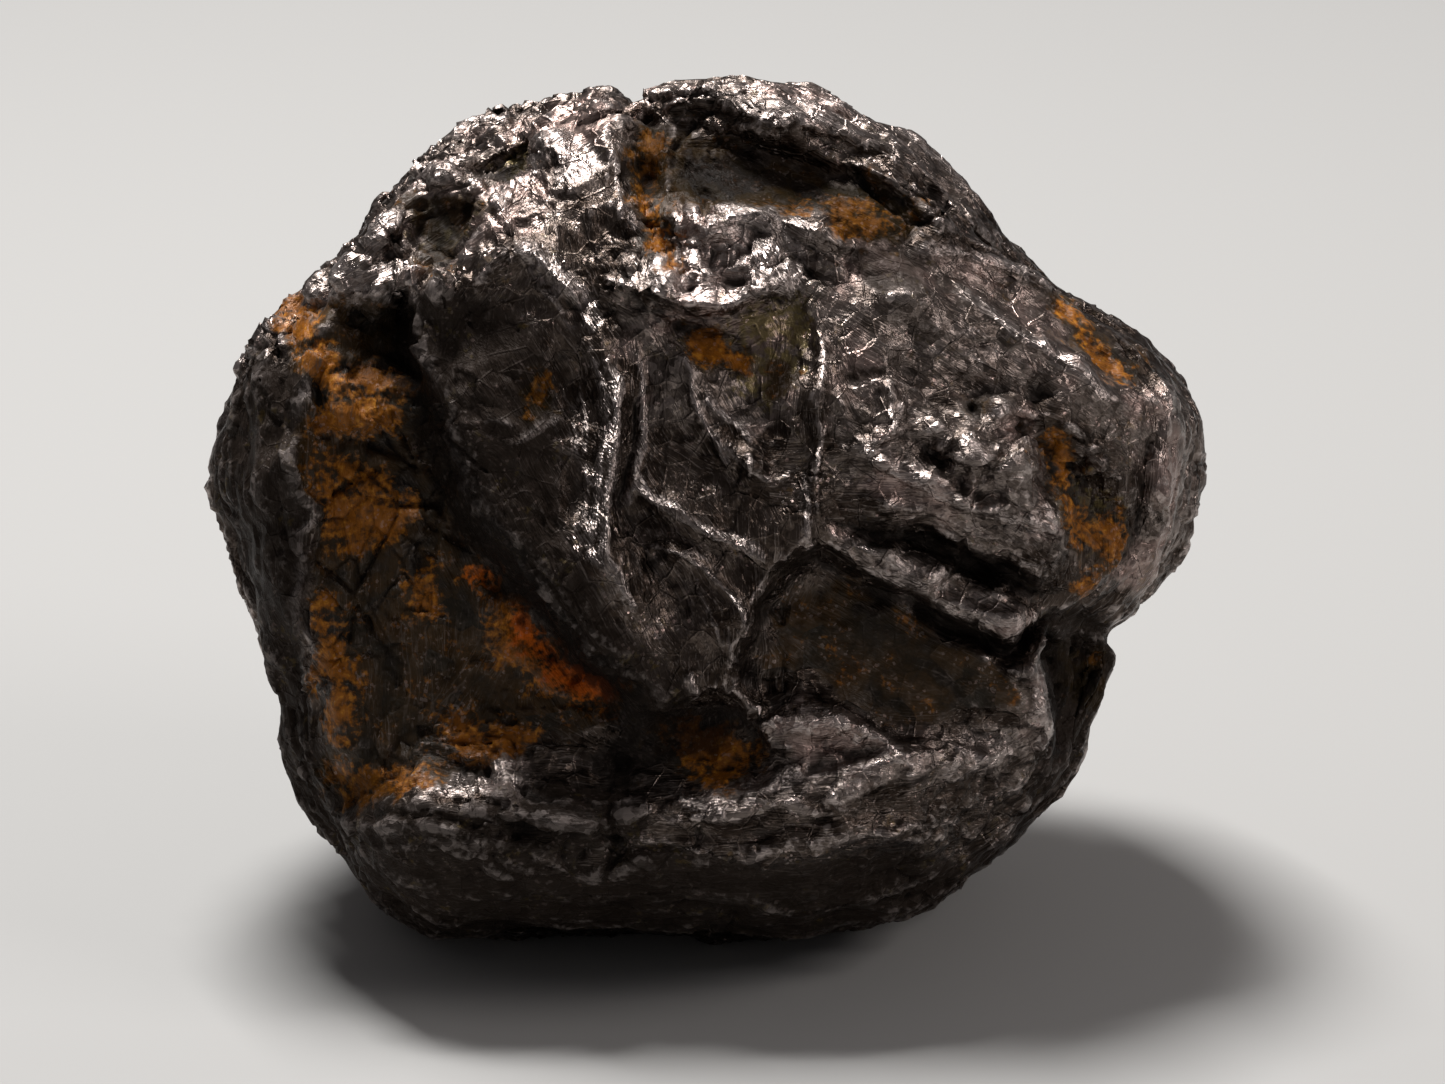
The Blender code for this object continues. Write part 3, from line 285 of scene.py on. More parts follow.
# Fine folds and creases of the near face, too narrow for the CAD solid, after three settings: the share
# of their height that they keep, how much steeper one flank is and how much gentler the other, and the
# height from which they are quite bright.
FINE_HEIGHT = 0.5
FINE_FLANKS = (0.55, 1.7)
BRIGHT_HEIGHT = 0.26
FINE_FOLDS = (
    Fold("tongue crest", 0.35, (0.18, 0.2), (
        (-3.5, 17.8), (-3.1, 16.7), (-2.7, 15.2), (-2.4, 14.1), (-2.5, 12.9), (-2.6, 11.7), (-2.3, 10.8),
        (-2.1, 9.8))),
    Fold("tongue crest, left", 0.25, (0.12, 0.18), (
        (-3.9, 18.0), (-3.5, 16.6), (-3.1, 15.2), (-2.9, 13.6), (-3.0, 12.2), (-2.7, 10.8))),
    Fold("tongue crest, far left", 0.18, (0.1, 0.15), (
        (-4.4, 17.2), (-4.0, 16.0), (-3.5, 14.6), (-3.3, 13.2), (-3.4, 12.0))),
    Fold("tongue seam", -0.4, (0.14, 0.14), (
        (-2.5, 16.8), (-2.3, 15.6), (-2.1, 14.4), (-2.1, 13.0), (-2.1, 11.6), (-1.8, 10.4))),
    Fold("tongue, right of the seam", 0.3, (0.12, 0.12), (
        (-2.6, 18.0), (-2.3, 16.7), (-2.0, 15.5), (-1.8, 14.2), (-1.7, 13.0))),
    Fold("tongue, white edge", 0.45, (0.16, 0.14), (
        (2.2, 11.2), (1.5, 11.8), (0.85, 12.2), (0.2, 12.5), (-0.7, 13.0), (-1.4, 13.8), (-1.8, 14.3),
        (-2.0, 14.9))),
    Fold("tongue, under the white edge", -0.3, (0.14, 0.14), (
        (-1.6, 13.4), (-0.9, 12.7), (0.0, 12.1), (0.8, 11.8))),
    Fold("tongue, second edge", 0.3, (0.12, 0.12), (
        (1.3, 9.0), (1.2, 9.9), (0.8, 10.6), (0.2, 11.2), (-0.5, 11.75), (-1.3, 12.1), (-1.6, 12.3))),
    Fold("tongue, forked edge", 0.2, (0.1, 0.1), ((0.3, 11.6), (-0.2, 11.9), (-0.8, 11.7))),
    Fold("tongue, low edge", 0.2, (0.12, 0.12), ((0.8, 8.6), (0.4, 9.4), (0.0, 10.2), (-0.6, 11.0))),
    Fold("tongue, lower line", 0.15, (0.1, 0.1), ((0.9, 8.2), (0.9, 9.0), (0.5, 10.0), (-0.2, 10.9))),
    Fold("tongue, upper edge", 0.3, (0.12, 0.14), (
        (0.8, 14.4), (0.2, 15.0), (-0.2, 15.8), (-0.5, 16.6), (-0.8, 17.4), (-1.1, 18.2))),
    Fold("tongue, bright fleck", 0.3, (0.2, 0.15), ((1.2, 15.1), (0.9, 15.7), (0.4, 16.1), (0.0, 16.5))),
    Fold("tongue, cross line", 0.2, (0.1, 0.12), (
        (2.8, 14.6), (2.2, 14.2), (1.5, 14.3), (0.6, 14.9), (-0.2, 14.9))),
    Fold("tongue, right crease", 0.25, (0.12, 0.12), (
        (2.7, 14.6), (2.9, 13.8), (2.9, 13.0), (2.9, 12.2), (3.1, 11.8))),
    Fold("tongue, bright diagonal", 0.35, (0.2, 0.3), (
        (-3.5, 17.7), (-3.9, 18.6), (-4.2, 19.4), (-4.8, 19.9), (-5.4, 20.3), (-5.8, 20.6))),
    Fold("tongue, second diagonal", 0.2, (0.12, 0.15), (
        (-4.2, 17.8), (-4.5, 18.6), (-5.0, 19.2), (-5.6, 19.7))),
    Fold("bulge line, upper", 0.2, (0.1, 0.12), ((-6.0, 15.5), (-6.6, 15.7), (-7.2, 15.7))),
    Fold("bulge line, middle", 0.25, (0.12, 0.15), (
        (-4.5, 15.8), (-5.0, 15.6), (-5.6, 15.3), (-6.2, 14.9))),
    Fold("bulge line, right", 0.2, (0.1, 0.12), ((-4.4, 15.8), (-4.0, 15.3), (-3.7, 14.6))),
    Fold("bulge line, low", 0.15, (0.1, 0.1), ((-4.2, 12.3), (-4.6, 13.0), (-5.3, 13.4))),
    Fold("tongue, right line", 0.2, (0.14, 0.1), ((3.1, 19.0), (3.1, 17.4), (3.1, 15.6), (3.0, 14.0))),
    Fold("tongue, right groove", -0.35, (0.13, 0.13), (
        (2.8, 19.0), (2.8, 17.0), (2.8, 15.0), (2.8, 13.0))),
    Fold("tongue, tip fleck", 0.3, (0.15, 0.15), ((-0.6, 8.0), (-0.45, 7.7), (-0.2, 7.4))),
    Fold("middle ledge, lip", 0.2, (0.1, 0.15), (
        (2.8, 19.8), (1.6, 19.7), (0.6, 19.1), (-0.6, 19.0), (-1.8, 19.2), (-2.9, 19.5))),
    Fold("middle ledge, crack", -0.4, (0.15, 0.15), (
        (2.6, 19.4), (1.2, 19.0), (0.4, 18.7), (-0.8, 18.6), (-2.2, 18.9), (-3.2, 19.2))),
    Fold("arc over the ledge", 0.3, (0.25, 0.15), (
        (3.6, 20.8), (3.0, 21.0), (2.6, 21.5), (1.8, 21.7), (1.0, 21.5), (0.5, 21.0))),
    Fold("rim leaf, first", 0.22, (0.12, 0.3), (
        (5.6, 23.1), (4.2, 23.9), (3.0, 24.3), (1.5, 24.5), (0.2, 24.8), (-1.4, 24.9))),
    Fold("rim leaf, second", 0.2, (0.12, 0.3), (
        (6.6, 22.9), (5.2, 23.8), (3.6, 24.5), (1.8, 24.9), (0.2, 25.2))),
    Fold("rim leaf, third", 0.2, (0.12, 0.3), (
        (8.2, 22.0), (6.8, 23.3), (5.2, 24.3), (3.4, 25.0), (1.6, 25.5))),
    Fold("rim leaf, right", 0.2, (0.12, 0.3), ((11.4, 19.7), (10.0, 20.4), (9.0, 21.2), (8.0, 22.2))),
    Fold("rim streak", 0.15, (0.1, 0.15), ((0.8, 22.9), (0.0, 23.2), (-0.8, 23.4))),
    Fold("right groove, lip", 0.22, (0.12, 0.2), ((9.8, 19.6), (8.5, 20.1), (7.0, 20.4), (5.4, 20.8))),
    Fold("broad ridge, crest", 0.25, (0.2, 0.25), (
        (13.2, 16.3), (11.5, 16.8), (10.2, 17.5), (9.0, 18.3), (7.6, 19.1), (6.2, 19.5))),
    Fold("broad ridge, line", 0.15, (0.1, 0.15), (
        (10.8, 16.7), (9.4, 17.3), (7.8, 18.2), (6.2, 18.6), (4.6, 19.0))),
    Fold("broad ridge, lower line", 0.15, (0.1, 0.15), (
        (9.2, 16.9), (7.8, 17.6), (6.0, 17.9), (4.0, 18.3))),
    Fold("facet, left edge", 0.12, (0.1, 0.2), ((4.5, 15.2), (3.9, 15.9), (3.5, 16.8))),
    Fold("facet, middle edge", 0.15, (0.08, 0.12), ((5.0, 17.1), (5.1, 16.2), (5.2, 15.1))),
    Fold("facet, top edge", 0.18, (0.1, 0.15), ((6.3, 16.7), (5.0, 17.1), (3.5, 16.9))),
    Fold("brow, crest", 0.25, (0.15, 0.3), (
        (10.4, 12.7), (9.3, 13.1), (8.2, 13.5), (7.0, 13.7), (6.0, 14.0), (4.5, 15.0), (3.2, 15.0))),
    Fold("brow, line", 0.15, (0.1, 0.15), (
        (10.2, 12.1), (9.0, 12.7), (7.4, 13.0), (5.6, 13.4), (4.0, 13.8))),
    Fold("lumpy ridge, crest", 0.25, (0.15, 0.2), (
        (9.0, 9.8), (8.3, 10.2), (7.4, 10.6), (6.6, 11.1), (5.8, 11.3), (5.2, 11.7), (4.3, 12.2),
        (3.3, 12.6))),
    Fold("lumpy ridge, upper edge", 0.2, (0.12, 0.12), (
        (8.8, 10.5), (7.9, 11.1), (7.0, 11.5), (6.0, 11.8))),
    Fold("crack, deep", -0.5, (0.14, 0.14), (
        (12.2, 9.6), (11.0, 9.6), (10.0, 9.6), (9.2, 9.2), (8.4, 9.1), (7.7, 9.4), (6.9, 9.9),
        (6.3, 10.5), (5.4, 10.7), (4.5, 11.1), (3.2, 11.6))),
    Fold("recess streak, upper", 0.1, (0.1, 0.14), ((8.4, 8.2), (6.4, 8.9), (4.2, 9.6), (2.2, 9.8))),
    Fold("recess streak, lower", 0.1, (0.1, 0.14), ((8.8, 6.9), (6.8, 7.6), (4.4, 8.3), (2.0, 8.4))),
    Fold("thin crest", 0.35, (0.15, 0.12), (
        (6.4, 6.2), (5.1, 6.2), (4.8, 6.5), (4.3, 6.9), (3.9, 7.4), (3.2, 7.2), (2.0, 7.2))),
    Fold("roll crest, right", 0.35, (0.2, 0.12), (
        (6.4, 6.0), (5.7, 5.8), (5.0, 6.1), (3.8, 5.7), (2.0, 5.4), (0.5, 5.1), (-0.4, 4.7), (-1.5, 4.9),
        (-2.7, 4.7))),
    Fold("roll crest, left", 0.3, (0.15, 0.12), (
        (-3.0, 4.1), (-4.0, 4.3), (-5.0, 4.5), (-6.0, 4.6), (-7.0, 5.1))),
    Fold("roll crest, second", 0.25, (0.12, 0.1), ((-4.0, 4.7), (-5.0, 4.9), (-5.9, 5.1), (-6.6, 5.5))),
    Fold("roll split", -0.3, (0.1, 0.1), ((-2.8, 5.1), (-3.0, 4.4), (-2.9, 3.5), (-3.1, 2.8))),
    Fold("roll line, left", 0.2, (0.15, 0.08), ((-8.6, 4.0), (-9.7, 3.7), (-10.5, 3.9), (-11.3, 4.1))),
    Fold("roll line, middle", 0.2, (0.15, 0.08), ((0.3, 3.5), (-1.0, 3.5), (-2.3, 3.5))),
    Fold("roll line, right", 0.2, (0.15, 0.08), (
        (8.8, 3.5), (7.1, 3.8), (6.0, 4.0), (5.0, 4.1), (4.3, 4.2))),
    Fold("roll line, low", 0.2, (0.15, 0.08), ((6.9, 2.9), (6.0, 2.3), (5.0, 2.0), (3.5, 1.9))),
    Fold("roll crease, low", -0.15, (0.1, 0.1), ((-4.4, 1.8), (-3.0, 1.9), (-1.5, 1.3), (-0.1, 1.3))),
    Fold("valley ledge", 0.3, (0.15, 0.3), (
        (-4.0, 7.7), (-5.0, 8.0), (-5.8, 8.8), (-6.2, 9.1), (-7.2, 9.6))),
    Fold("valley ledge, upper", 0.2, (0.12, 0.2), (
        (-6.2, 11.8), (-7.4, 12.2), (-8.8, 12.9), (-10.2, 12.4))),
    Fold("valley ledge, lower", 0.2, (0.12, 0.2), ((-7.6, 6.6), (-9.0, 6.1), (-10.2, 6.4), (-11.4, 6.0))),
    Fold("valley edge on the left", 0.25, (0.3, 0.12), (
        (-12.2, 15.0), (-11.8, 13.0), (-12.2, 12.0), (-12.3, 10.0), (-11.8, 9.0), (-11.2, 7.0),
        (-11.8, 5.0))),
    Fold("cave, shelf", 0.35, (0.12, 0.3), ((-8.5, 19.6), (-9.6, 19.8), (-10.7, 19.6), (-11.8, 19.7))),
    Fold("shoulder crack", -0.3, (0.15, 0.15), ((-8.9, 20.0), (-8.9, 21.2), (-8.2, 22.4), (-7.2, 23.3))),
    Fold("shoulder ridge", 0.3, (0.2, 0.2), (
        (-11.6, 19.9), (-10.4, 20.6), (-9.6, 21.5), (-8.6, 22.9), (-7.0, 23.9))),
    Fold("shoulder ridge, inner", 0.25, (0.15, 0.2), (
        (-7.0, 21.6), (-6.2, 22.4), (-5.6, 23.2), (-4.8, 24.2))),
    Fold("notch line", 0.2, (0.12, 0.12), ((-3.0, 25.4), (-3.2, 24.2), (-2.8, 22.8), (-2.9, 21.4))),
    Fold("notch line, right", 0.2, (0.12, 0.12), (
        (-1.4, 25.0), (-1.3, 23.6), (-1.0, 22.4), (-1.0, 21.4))),
)

FINE_LUMPS = (
    Lump("groove lump, left", (5.3, 12.3), 0.35, 0.5),
    Lump("groove lump, middle", (6.9, 11.8), 0.4, 0.6),
    Lump("groove lump, right", (8.3, 11.2), 0.35, 0.5),
    Lump("gap in the ridge", (7.1, 10.9), 0.3, -0.4),
    Lump("gap in the ridge, left", (5.0, 11.8), 0.25, -0.3),
    Lump("knuckle at the crack", (9.6, 9.9), 0.25, 0.35),
    Lump("block, pit under it", (6.9, 14.3), 0.22, -0.4),
    Lump("block, pit beside it", (6.5, 14.8), 0.2, -0.4),
    Lump("valley pit", (-7.0, 6.3), 0.25, -0.3),
    Lump("roll, glint", (-8.9, 5.2), 0.3, 0.3),
    Lump("roll, second glint", (7.8, 5.9), 0.3, 0.3),
)

# Paler metal on the ridges, partly clean metal and partly a painted highlight where light falls, painted
# shade as dull dark metal where shade falls, rust and ochre in the hollows, a thin olive-brown film, and
# painted black shade in the deepest places.
FRESH_AND_LIT = (
    Stain("right rim", (
        (12.4, 16.4), (14.8, 15.8), (15.4, 13.4), (14.2, 10.6), (12.6, 10.8), (12.6, 12.4),
        (13.0, 13.6))),
    Stain("broad ridge", (
        (3.0, 20.6), (5.5, 20.9), (8.8, 20.0), (11.6, 18.2), (13.4, 16.4), (12.4, 15.4), (9.6, 16.2),
        (6.0, 17.4), (3.2, 17.6))),
    Stain("facets", ((3.2, 17.4), (6.6, 17.2), (5.6, 14.6), (4.0, 14.8), (3.4, 15.6))),
    Stain("block", ((5.8, 16.4), (9.4, 16.6), (9.9, 14.0), (8.4, 13.2), (5.6, 14.6))),
    Stain("brow's edge", (
        (3.2, 15.0), (6.0, 14.2), (10.4, 12.9), (11.0, 11.8), (9.0, 12.4), (5.6, 13.2))),
    Stain("bright cluster", (
        (-2.8, 20.8), (-1.6, 21.6), (0.0, 22.2), (2.8, 22.1), (5.6, 21.2), (5.2, 19.8), (2.8, 19.6),
        (0.8, 18.9), (-1.6, 19.0), (-3.0, 19.6))),
    Stain("left shoulder", (
        (-12.8, 20.4), (-9.8, 23.3), (-6.8, 25.4), (-3.4, 26.6), (-2.8, 23.4), (-4.4, 21.6), (-6.6, 20.4),
        (-8.8, 19.8), (-11.8, 19.2))),
    Stain("top rim", (
        (-3.4, 26.8), (0.0, 27.0), (4.6, 25.8), (8.6, 22.8), (7.4, 21.7), (5.2, 23.1), (2.4, 24.5),
        (-3.0, 25.0))),
    Stain("lumpy ridge", (
        (3.6, 12.8), (5.4, 12.0), (6.8, 11.6), (8.4, 10.9), (9.3, 10.0), (8.9, 9.3), (7.7, 9.5),
        (6.4, 10.6), (4.6, 11.4))),
    Stain("lobe's rim", ((9.0, 8.4), (9.9, 8.2), (10.2, 6.6), (9.4, 5.6), (8.8, 6.4), (9.3, 7.4))),
    Stain("lump on the roll", ((-9.4, 6.1), (-7.0, 6.2), (-5.8, 5.9), (-6.2, 5.0), (-9.2, 4.9))),
    Stain("roll, right crest", (
        (-0.4, 5.3), (1.8, 5.8), (2.0, 7.5), (4.2, 7.6), (5.2, 6.6), (9.4, 6.5), (9.2, 5.0), (5.2, 5.2),
        (0.8, 4.6))),
    Stain("tongue's top", (
        (-3.0, 19.2), (0.0, 18.7), (2.6, 19.4), (2.6, 16.4), (0.4, 15.6), (-2.0, 16.0))),
)
# Painted highlights on flakes that catch the light, and how much of them shows.
HIGHLIGHT_SHARE = 0.95
PAINTED_HIGHLIGHTS = (
    Stain("cluster over the ledge", (
        (-2.4, 20.2), (-1.6, 21.0), (-0.4, 21.0), (0.4, 20.4), (0.8, 19.4), (-0.4, 19.1), (-2.0, 19.3))),
    Stain("ledge of the ridge", ((4.6, 12.1), (5.4, 12.3), (7.0, 11.5), (6.8, 11.0), (5.4, 11.6))),
    Stain("arch", (
        (-0.6, 20.8), (0.0, 21.5), (1.2, 21.8), (2.6, 21.5), (3.4, 20.8), (2.4, 20.9), (1.6, 21.1))),
    Stain("facets right of the cluster", (
        (0.4, 21.1), (2.8, 21.1), (3.0, 19.6), (1.4, 19.3), (0.4, 19.5))),
    Stain("diagonal on the tongue", (
        (-5.9, 20.7), (-5.2, 20.7), (-4.2, 19.8), (-3.7, 18.8), (-4.3, 18.9), (-5.4, 19.9))),
    Stain("knuckle", ((-7.1, 22.4), (-6.0, 22.5), (-5.7, 21.7), (-6.6, 21.4))),
    Stain("pale facet", ((-5.1, 24.4), (-4.0, 24.6), (-3.3, 23.2), (-4.2, 22.8))),
    Stain("ridge, left", ((5.3, 12.0), (6.8, 11.2), (6.6, 10.5), (5.5, 11.1))),
    Stain("ridge, right", ((7.7, 10.9), (9.0, 10.1), (8.7, 9.4), (7.8, 9.9))),
    Stain("lump on the roll", ((-9.2, 6.1), (-6.9, 6.1), (-6.8, 5.1), (-9.0, 5.1))),
    Stain("small lump on the roll", ((-6.7, 5.9), (-5.8, 5.9), (-5.8, 5.1), (-6.7, 5.1))),
    Stain("glitter on the roll", ((7.0, 6.4), (9.2, 6.3), (9.2, 5.6), (7.2, 5.6))),
    Stain("lobe's rim", ((9.5, 8.0), (10.1, 7.4), (10.0, 6.4), (9.5, 6.8))),
)
# Painted shade: dull dark metal where the face lies in shade, as on the left rim and the low roll.
DIM_SHADE = (
    Stain("left rim", (
        (-15.6, 17.4), (-12.6, 17.6), (-11.9, 15.8), (-11.9, 12.0), (-12.2, 8.0), (-11.4, 4.6),
        (-13.0, 2.6), (-15.6, 7.0))),
    Stain("tongue's left bulge", (
        (-9.2, 19.2), (-6.8, 19.6), (-5.2, 18.2), (-4.6, 15.4), (-3.8, 12.4), (-2.6, 9.6), (-0.6, 7.4),
        (-1.8, 6.8), (-3.0, 7.6), (-5.6, 10.4), (-8.4, 14.2), (-9.4, 16.8))),
    Stain("bottom roll, low", (
        (-12.6, 3.8), (-8.0, 3.5), (-2.0, 3.3), (4.0, 3.2), (7.0, 3.0), (8.6, 1.2), (9.0, -2.0),
        (-12.6, -2.0))),
    Stain("crescent under the rim", (
        (-2.6, 24.2), (0.0, 24.0), (2.4, 23.4), (4.6, 22.6), (6.0, 21.6), (5.4, 20.9), (3.2, 21.5),
        (1.0, 22.2), (-0.6, 22.5), (-2.6, 22.6))),
    Stain("body behind the lobe", (
        (10.0, 9.8), (12.8, 9.8), (12.8, 7.0), (11.6, 4.2), (9.8, 3.0), (9.8, 5.4), (10.3, 7.0))),
    Stain("knob right of the arc", ((4.6, 21.0), (6.0, 20.7), (6.1, 19.7), (4.8, 19.8))),
    Stain("rope on the roll", (
        (-6.4, 5.3), (-3.0, 4.9), (-2.2, 3.6), (-9.0, 3.4), (-9.6, 4.6), (-6.8, 4.7))),
    Stain("valley side of the roll", ((-11.6, 5.2), (-9.2, 5.0), (-9.2, 3.4), (-12.2, 2.6))),
)
# Painted shade: near black where shade falls deepest, in gaps, trenches and under ledges.
DEEP_SHADE = (
    Stain("slope under the rim", (
        (-0.6, 23.7), (1.4, 23.5), (3.0, 22.9), (3.6, 22.3), (2.2, 22.5), (-0.4, 22.7))),
    Stain("wall left of the tongue", (
        (-1.8, 6.6), (-3.0, 8.7), (-4.6, 10.6), (-6.0, 12.4), (-7.4, 14.4), (-8.5, 16.6), (-8.8, 19.2),
        (-9.6, 19.0), (-9.4, 16.6), (-8.4, 13.9), (-6.9, 11.6), (-5.2, 9.6), (-3.6, 7.9), (-2.6, 6.4))),
    Stain("trench", (
        (-3.6, 6.5), (-1.6, 6.9), (0.8, 7.3), (1.4, 6.9), (0.2, 6.4), (-1.6, 5.4), (-3.2, 4.9))),
    Stain("under the brow", (
        (3.8, 13.0), (5.5, 12.8), (7.2, 12.3), (8.6, 11.7), (9.6, 10.8), (9.2, 10.6), (8.2, 11.3),
        (6.6, 12.0), (5.0, 12.5))),
    Stain("gap behind the lobe", ((9.9, 9.4), (10.8, 9.2), (10.8, 7.0), (10.3, 5.8), (10.0, 7.2))),
)
RUST = (
    Stain("valley", (
        (-12.4, 18.8), (-11.4, 19.4), (-9.4, 19.8), (-8.9, 18.4), (-8.7, 16.4), (-7.4, 13.6),
        (-5.9, 11.0), (-4.4, 9.2), (-2.7, 7.9), (-3.6, 6.9), (-6.4, 6.0), (-9.4, 4.6), (-11.5, 4.6),
        (-11.9, 8.4), (-11.9, 12.0), (-11.9, 15.4))),
    Stain("vertical stain by the notch", (
        (-2.7, 24.6), (-1.7, 24.4), (-1.0, 22.6), (-0.9, 20.6), (-1.6, 20.0), (-2.4, 20.6),
        (-2.6, 22.6))),
    Stain("under the top rim", (
        (-1.2, 24.0), (1.4, 23.7), (4.2, 22.9), (6.0, 21.7), (5.0, 20.8), (3.2, 21.4), (1.4, 22.1),
        (-0.6, 22.2))),
    Stain("left bulge of the tongue", (
        (-5.1, 17.3), (-4.6, 17.1), (-4.9, 16.2), (-5.6, 15.7), (-5.8, 16.1))),
    Stain("hollow on the left shoulder", (
        (-9.3, 22.3), (-8.2, 22.5), (-7.1, 22.4), (-7.0, 21.6), (-7.5, 20.6), (-8.1, 19.9), (-8.7, 20.6),
        (-9.0, 21.4))),
    Stain("recess", (
        (3.4, 11.4), (5.4, 10.3), (8.4, 8.6), (8.4, 7.0), (5.4, 7.0), (3.4, 8.0), (2.0, 9.0))),
    Stain("lobe's back", ((10.2, 9.0), (11.6, 8.8), (11.6, 7.6), (10.4, 7.4))),
    Stain("upper right hollow", (
        (9.9, 19.5), (10.8, 19.5), (12.0, 18.6), (12.9, 17.4), (12.8, 16.9), (11.8, 17.3), (10.6, 17.9))),
    Stain("right hollow", (
        (9.2, 15.2), (10.4, 15.3), (11.0, 14.5), (11.8, 13.4), (12.7, 12.5), (12.5, 11.8), (11.4, 11.4),
        (10.6, 12.2), (10.0, 13.6))),
    Stain("spot on the right rim", ((10.7, 11.2), (11.5, 11.2), (11.6, 10.5), (10.9, 10.4))),
    Stain("hole by the block", ((7.4, 16.3), (8.4, 16.3), (8.3, 15.7), (7.5, 15.7))),
    Stain("olive hollow, left", ((-1.0, 18.3), (0.4, 18.3), (1.3, 17.8), (1.0, 16.8), (-0.4, 17.3))),
    Stain("olive hollow, right", ((1.6, 17.6), (2.4, 17.4), (2.2, 16.8), (1.6, 16.8))),
    Stain("under the tongue's tip", ((-1.8, 6.6), (0.4, 6.7), (1.8, 6.4), (1.0, 5.3), (-1.0, 5.2))),
)
ORANGE = (
    Stain("bright patch", (
        (-6.2, 10.3), (-5.3, 10.5), (-4.8, 9.6), (-3.9, 9.3), (-2.7, 8.1), (-3.3, 7.6), (-4.6, 7.6),
        (-5.6, 8.2), (-6.4, 9.2))),
    Stain("above the patch", ((-7.4, 11.4), (-6.0, 11.4), (-5.8, 10.8), (-7.2, 10.8))),
    Stain("rim by the cave", ((-13.0, 19.4), (-11.9, 19.6), (-11.2, 18.6), (-12.0, 18.0))),
    Stain("below the cave", (
        (-12.0, 18.5), (-11.2, 18.4), (-10.6, 17.6), (-9.2, 17.6), (-9.0, 16.8), (-11.6, 16.4))),
    Stain("block", ((-11.5, 16.3), (-9.6, 16.6), (-9.3, 15.8), (-10.8, 15.4), (-11.6, 15.6))),
    Stain("left bulge of the tongue", (
        (-5.0, 17.2), (-4.7, 17.0), (-5.2, 16.2), (-5.7, 15.8), (-5.6, 16.2))),
    Stain("valley, upper", (
        (-11.6, 14.6), (-10.6, 14.8), (-9.0, 13.9), (-8.9, 12.9), (-10.2, 11.9), (-11.6, 12.4))),
    Stain("valley, left", ((-11.9, 10.4), (-10.9, 10.4), (-10.5, 7.2), (-11.4, 6.4), (-11.8, 8.0))),
    Stain("valley, middle", ((-9.4, 11.4), (-8.2, 11.4), (-7.8, 10.0), (-8.8, 9.6))),
    Stain("valley, low", (
        (-11.4, 5.6), (-9.8, 5.6), (-8.2, 5.9), (-7.9, 5.2), (-9.4, 4.3), (-11.2, 4.2))),
    Stain("valley, foot", ((-7.4, 7.4), (-5.8, 7.0), (-5.2, 6.2), (-7.2, 6.1))),
    Stain("notch", (
        (-2.6, 24.0), (-1.8, 24.0), (-1.2, 22.0), (-0.9, 20.9), (-0.9, 20.0), (-1.9, 20.0),
        (-2.3, 22.0))),
    Stain("rim hollow", ((2.6, 22.0), (4.6, 22.1), (5.4, 21.4), (4.6, 20.9), (3.2, 21.2))),
    Stain("upper right hollow", ((10.2, 19.0), (11.0, 19.0), (12.2, 17.8), (12.6, 17.0), (11.6, 17.4))),
    Stain("right hollow, upper", ((9.6, 15.2), (10.8, 15.0), (11.0, 14.0), (10.0, 14.0))),
    Stain("right hollow, lower", ((10.4, 13.8), (11.2, 13.6), (12.4, 12.3), (11.6, 11.7), (10.6, 12.6))),
    Stain("spot on the right", ((10.8, 11.2), (11.6, 11.2), (11.6, 10.5), (10.9, 10.5))),
    Stain("olive hollow, left", ((-0.9, 18.2), (0.4, 18.3), (1.2, 17.6), (0.9, 16.9), (-0.4, 17.4))),
    Stain("trench", ((-1.0, 6.6), (0.6, 6.8), (1.6, 6.3), (0.8, 5.4), (-0.8, 5.3))),
)
RED = (
    Stain("bright patch", (
        (-5.7, 10.0), (-5.2, 10.0), (-4.7, 9.3), (-3.8, 9.0), (-2.9, 8.2), (-3.4, 7.7), (-4.6, 7.8),
        (-5.4, 8.6))),
    Stain("above the patch", ((-7.2, 11.3), (-6.2, 11.3), (-6.0, 10.9), (-7.0, 10.8))),
)
OLIVE = (
    Stain("right hollow", ((9.6, 15.0), (11.0, 14.6), (12.4, 12.6), (11.6, 11.6), (10.6, 12.4))),
    Stain("olive hollow", (
        (-1.1, 18.3), (0.4, 18.4), (1.2, 19.2), (2.6, 19.3), (2.7, 18.0), (2.3, 16.8), (1.5, 16.3),
        (0.4, 16.8), (-0.7, 17.4))),
    Stain("shoulder gap", ((-9.1, 22.2), (-7.1, 22.4), (-6.9, 21.4), (-7.6, 20.6), (-8.8, 20.8))),
    Stain("shoulder gap, upper", ((-6.4, 24.0), (-5.4, 24.1), (-5.4, 23.2), (-6.3, 23.1))),
)

# The stains, with the painted shade and the partly painted highlight, under the names that the material
# reads them by.
STAINS = {
    "fresh_and_lit": FRESH_AND_LIT,
    "dim_shade": DIM_SHADE,
    "deep_shade": DEEP_SHADE,
    "rust": RUST,
    "orange": ORANGE,
    "red": RED,
    "olive": OLIVE,
}

# Where the grain of the face runs, beside what the folds say: lines in the drawing.
GRAIN = (
    ((-11.0, 17.0), (-10.2, 6.0)),
    ((-6.8, 18.0), (-2.6, 8.4)),
    ((0.4, 15.0), (1.4, 8.4)),
    ((2.4, 9.4), (8.8, 7.6)),
    ((3.6, 19.6), (12.6, 15.4)),
    ((-9.6, 2.4), (7.6, 2.6)),
    ((-11.6, 20.0), (-4.4, 25.0)),
    ((13.4, 17.0), (13.4, 11.4)),
)

# A fold is felt within this many of its flank's widths, and fades over this share of its length at each
# end. A crispness over 1 rounds its top and steepens its flanks.
FOLD_REACH = 4
FOLD_ENDS = 0.18
CRISPNESS = 1.35

# Where plates, folds and fine folds fade in between the waist, 0, and the middle of their face, 1.
PLATE_FADE = (0, 0.3)
FOLD_FADE = (-0.3, 0.1)
FINE_FADE = (0, 0.15)
# Folds stand outward, and on a face also straight out of it: where that fades in, and how strong it is.
PUSH_FADE = (0.1, 0.6)
PUSH = 1.5

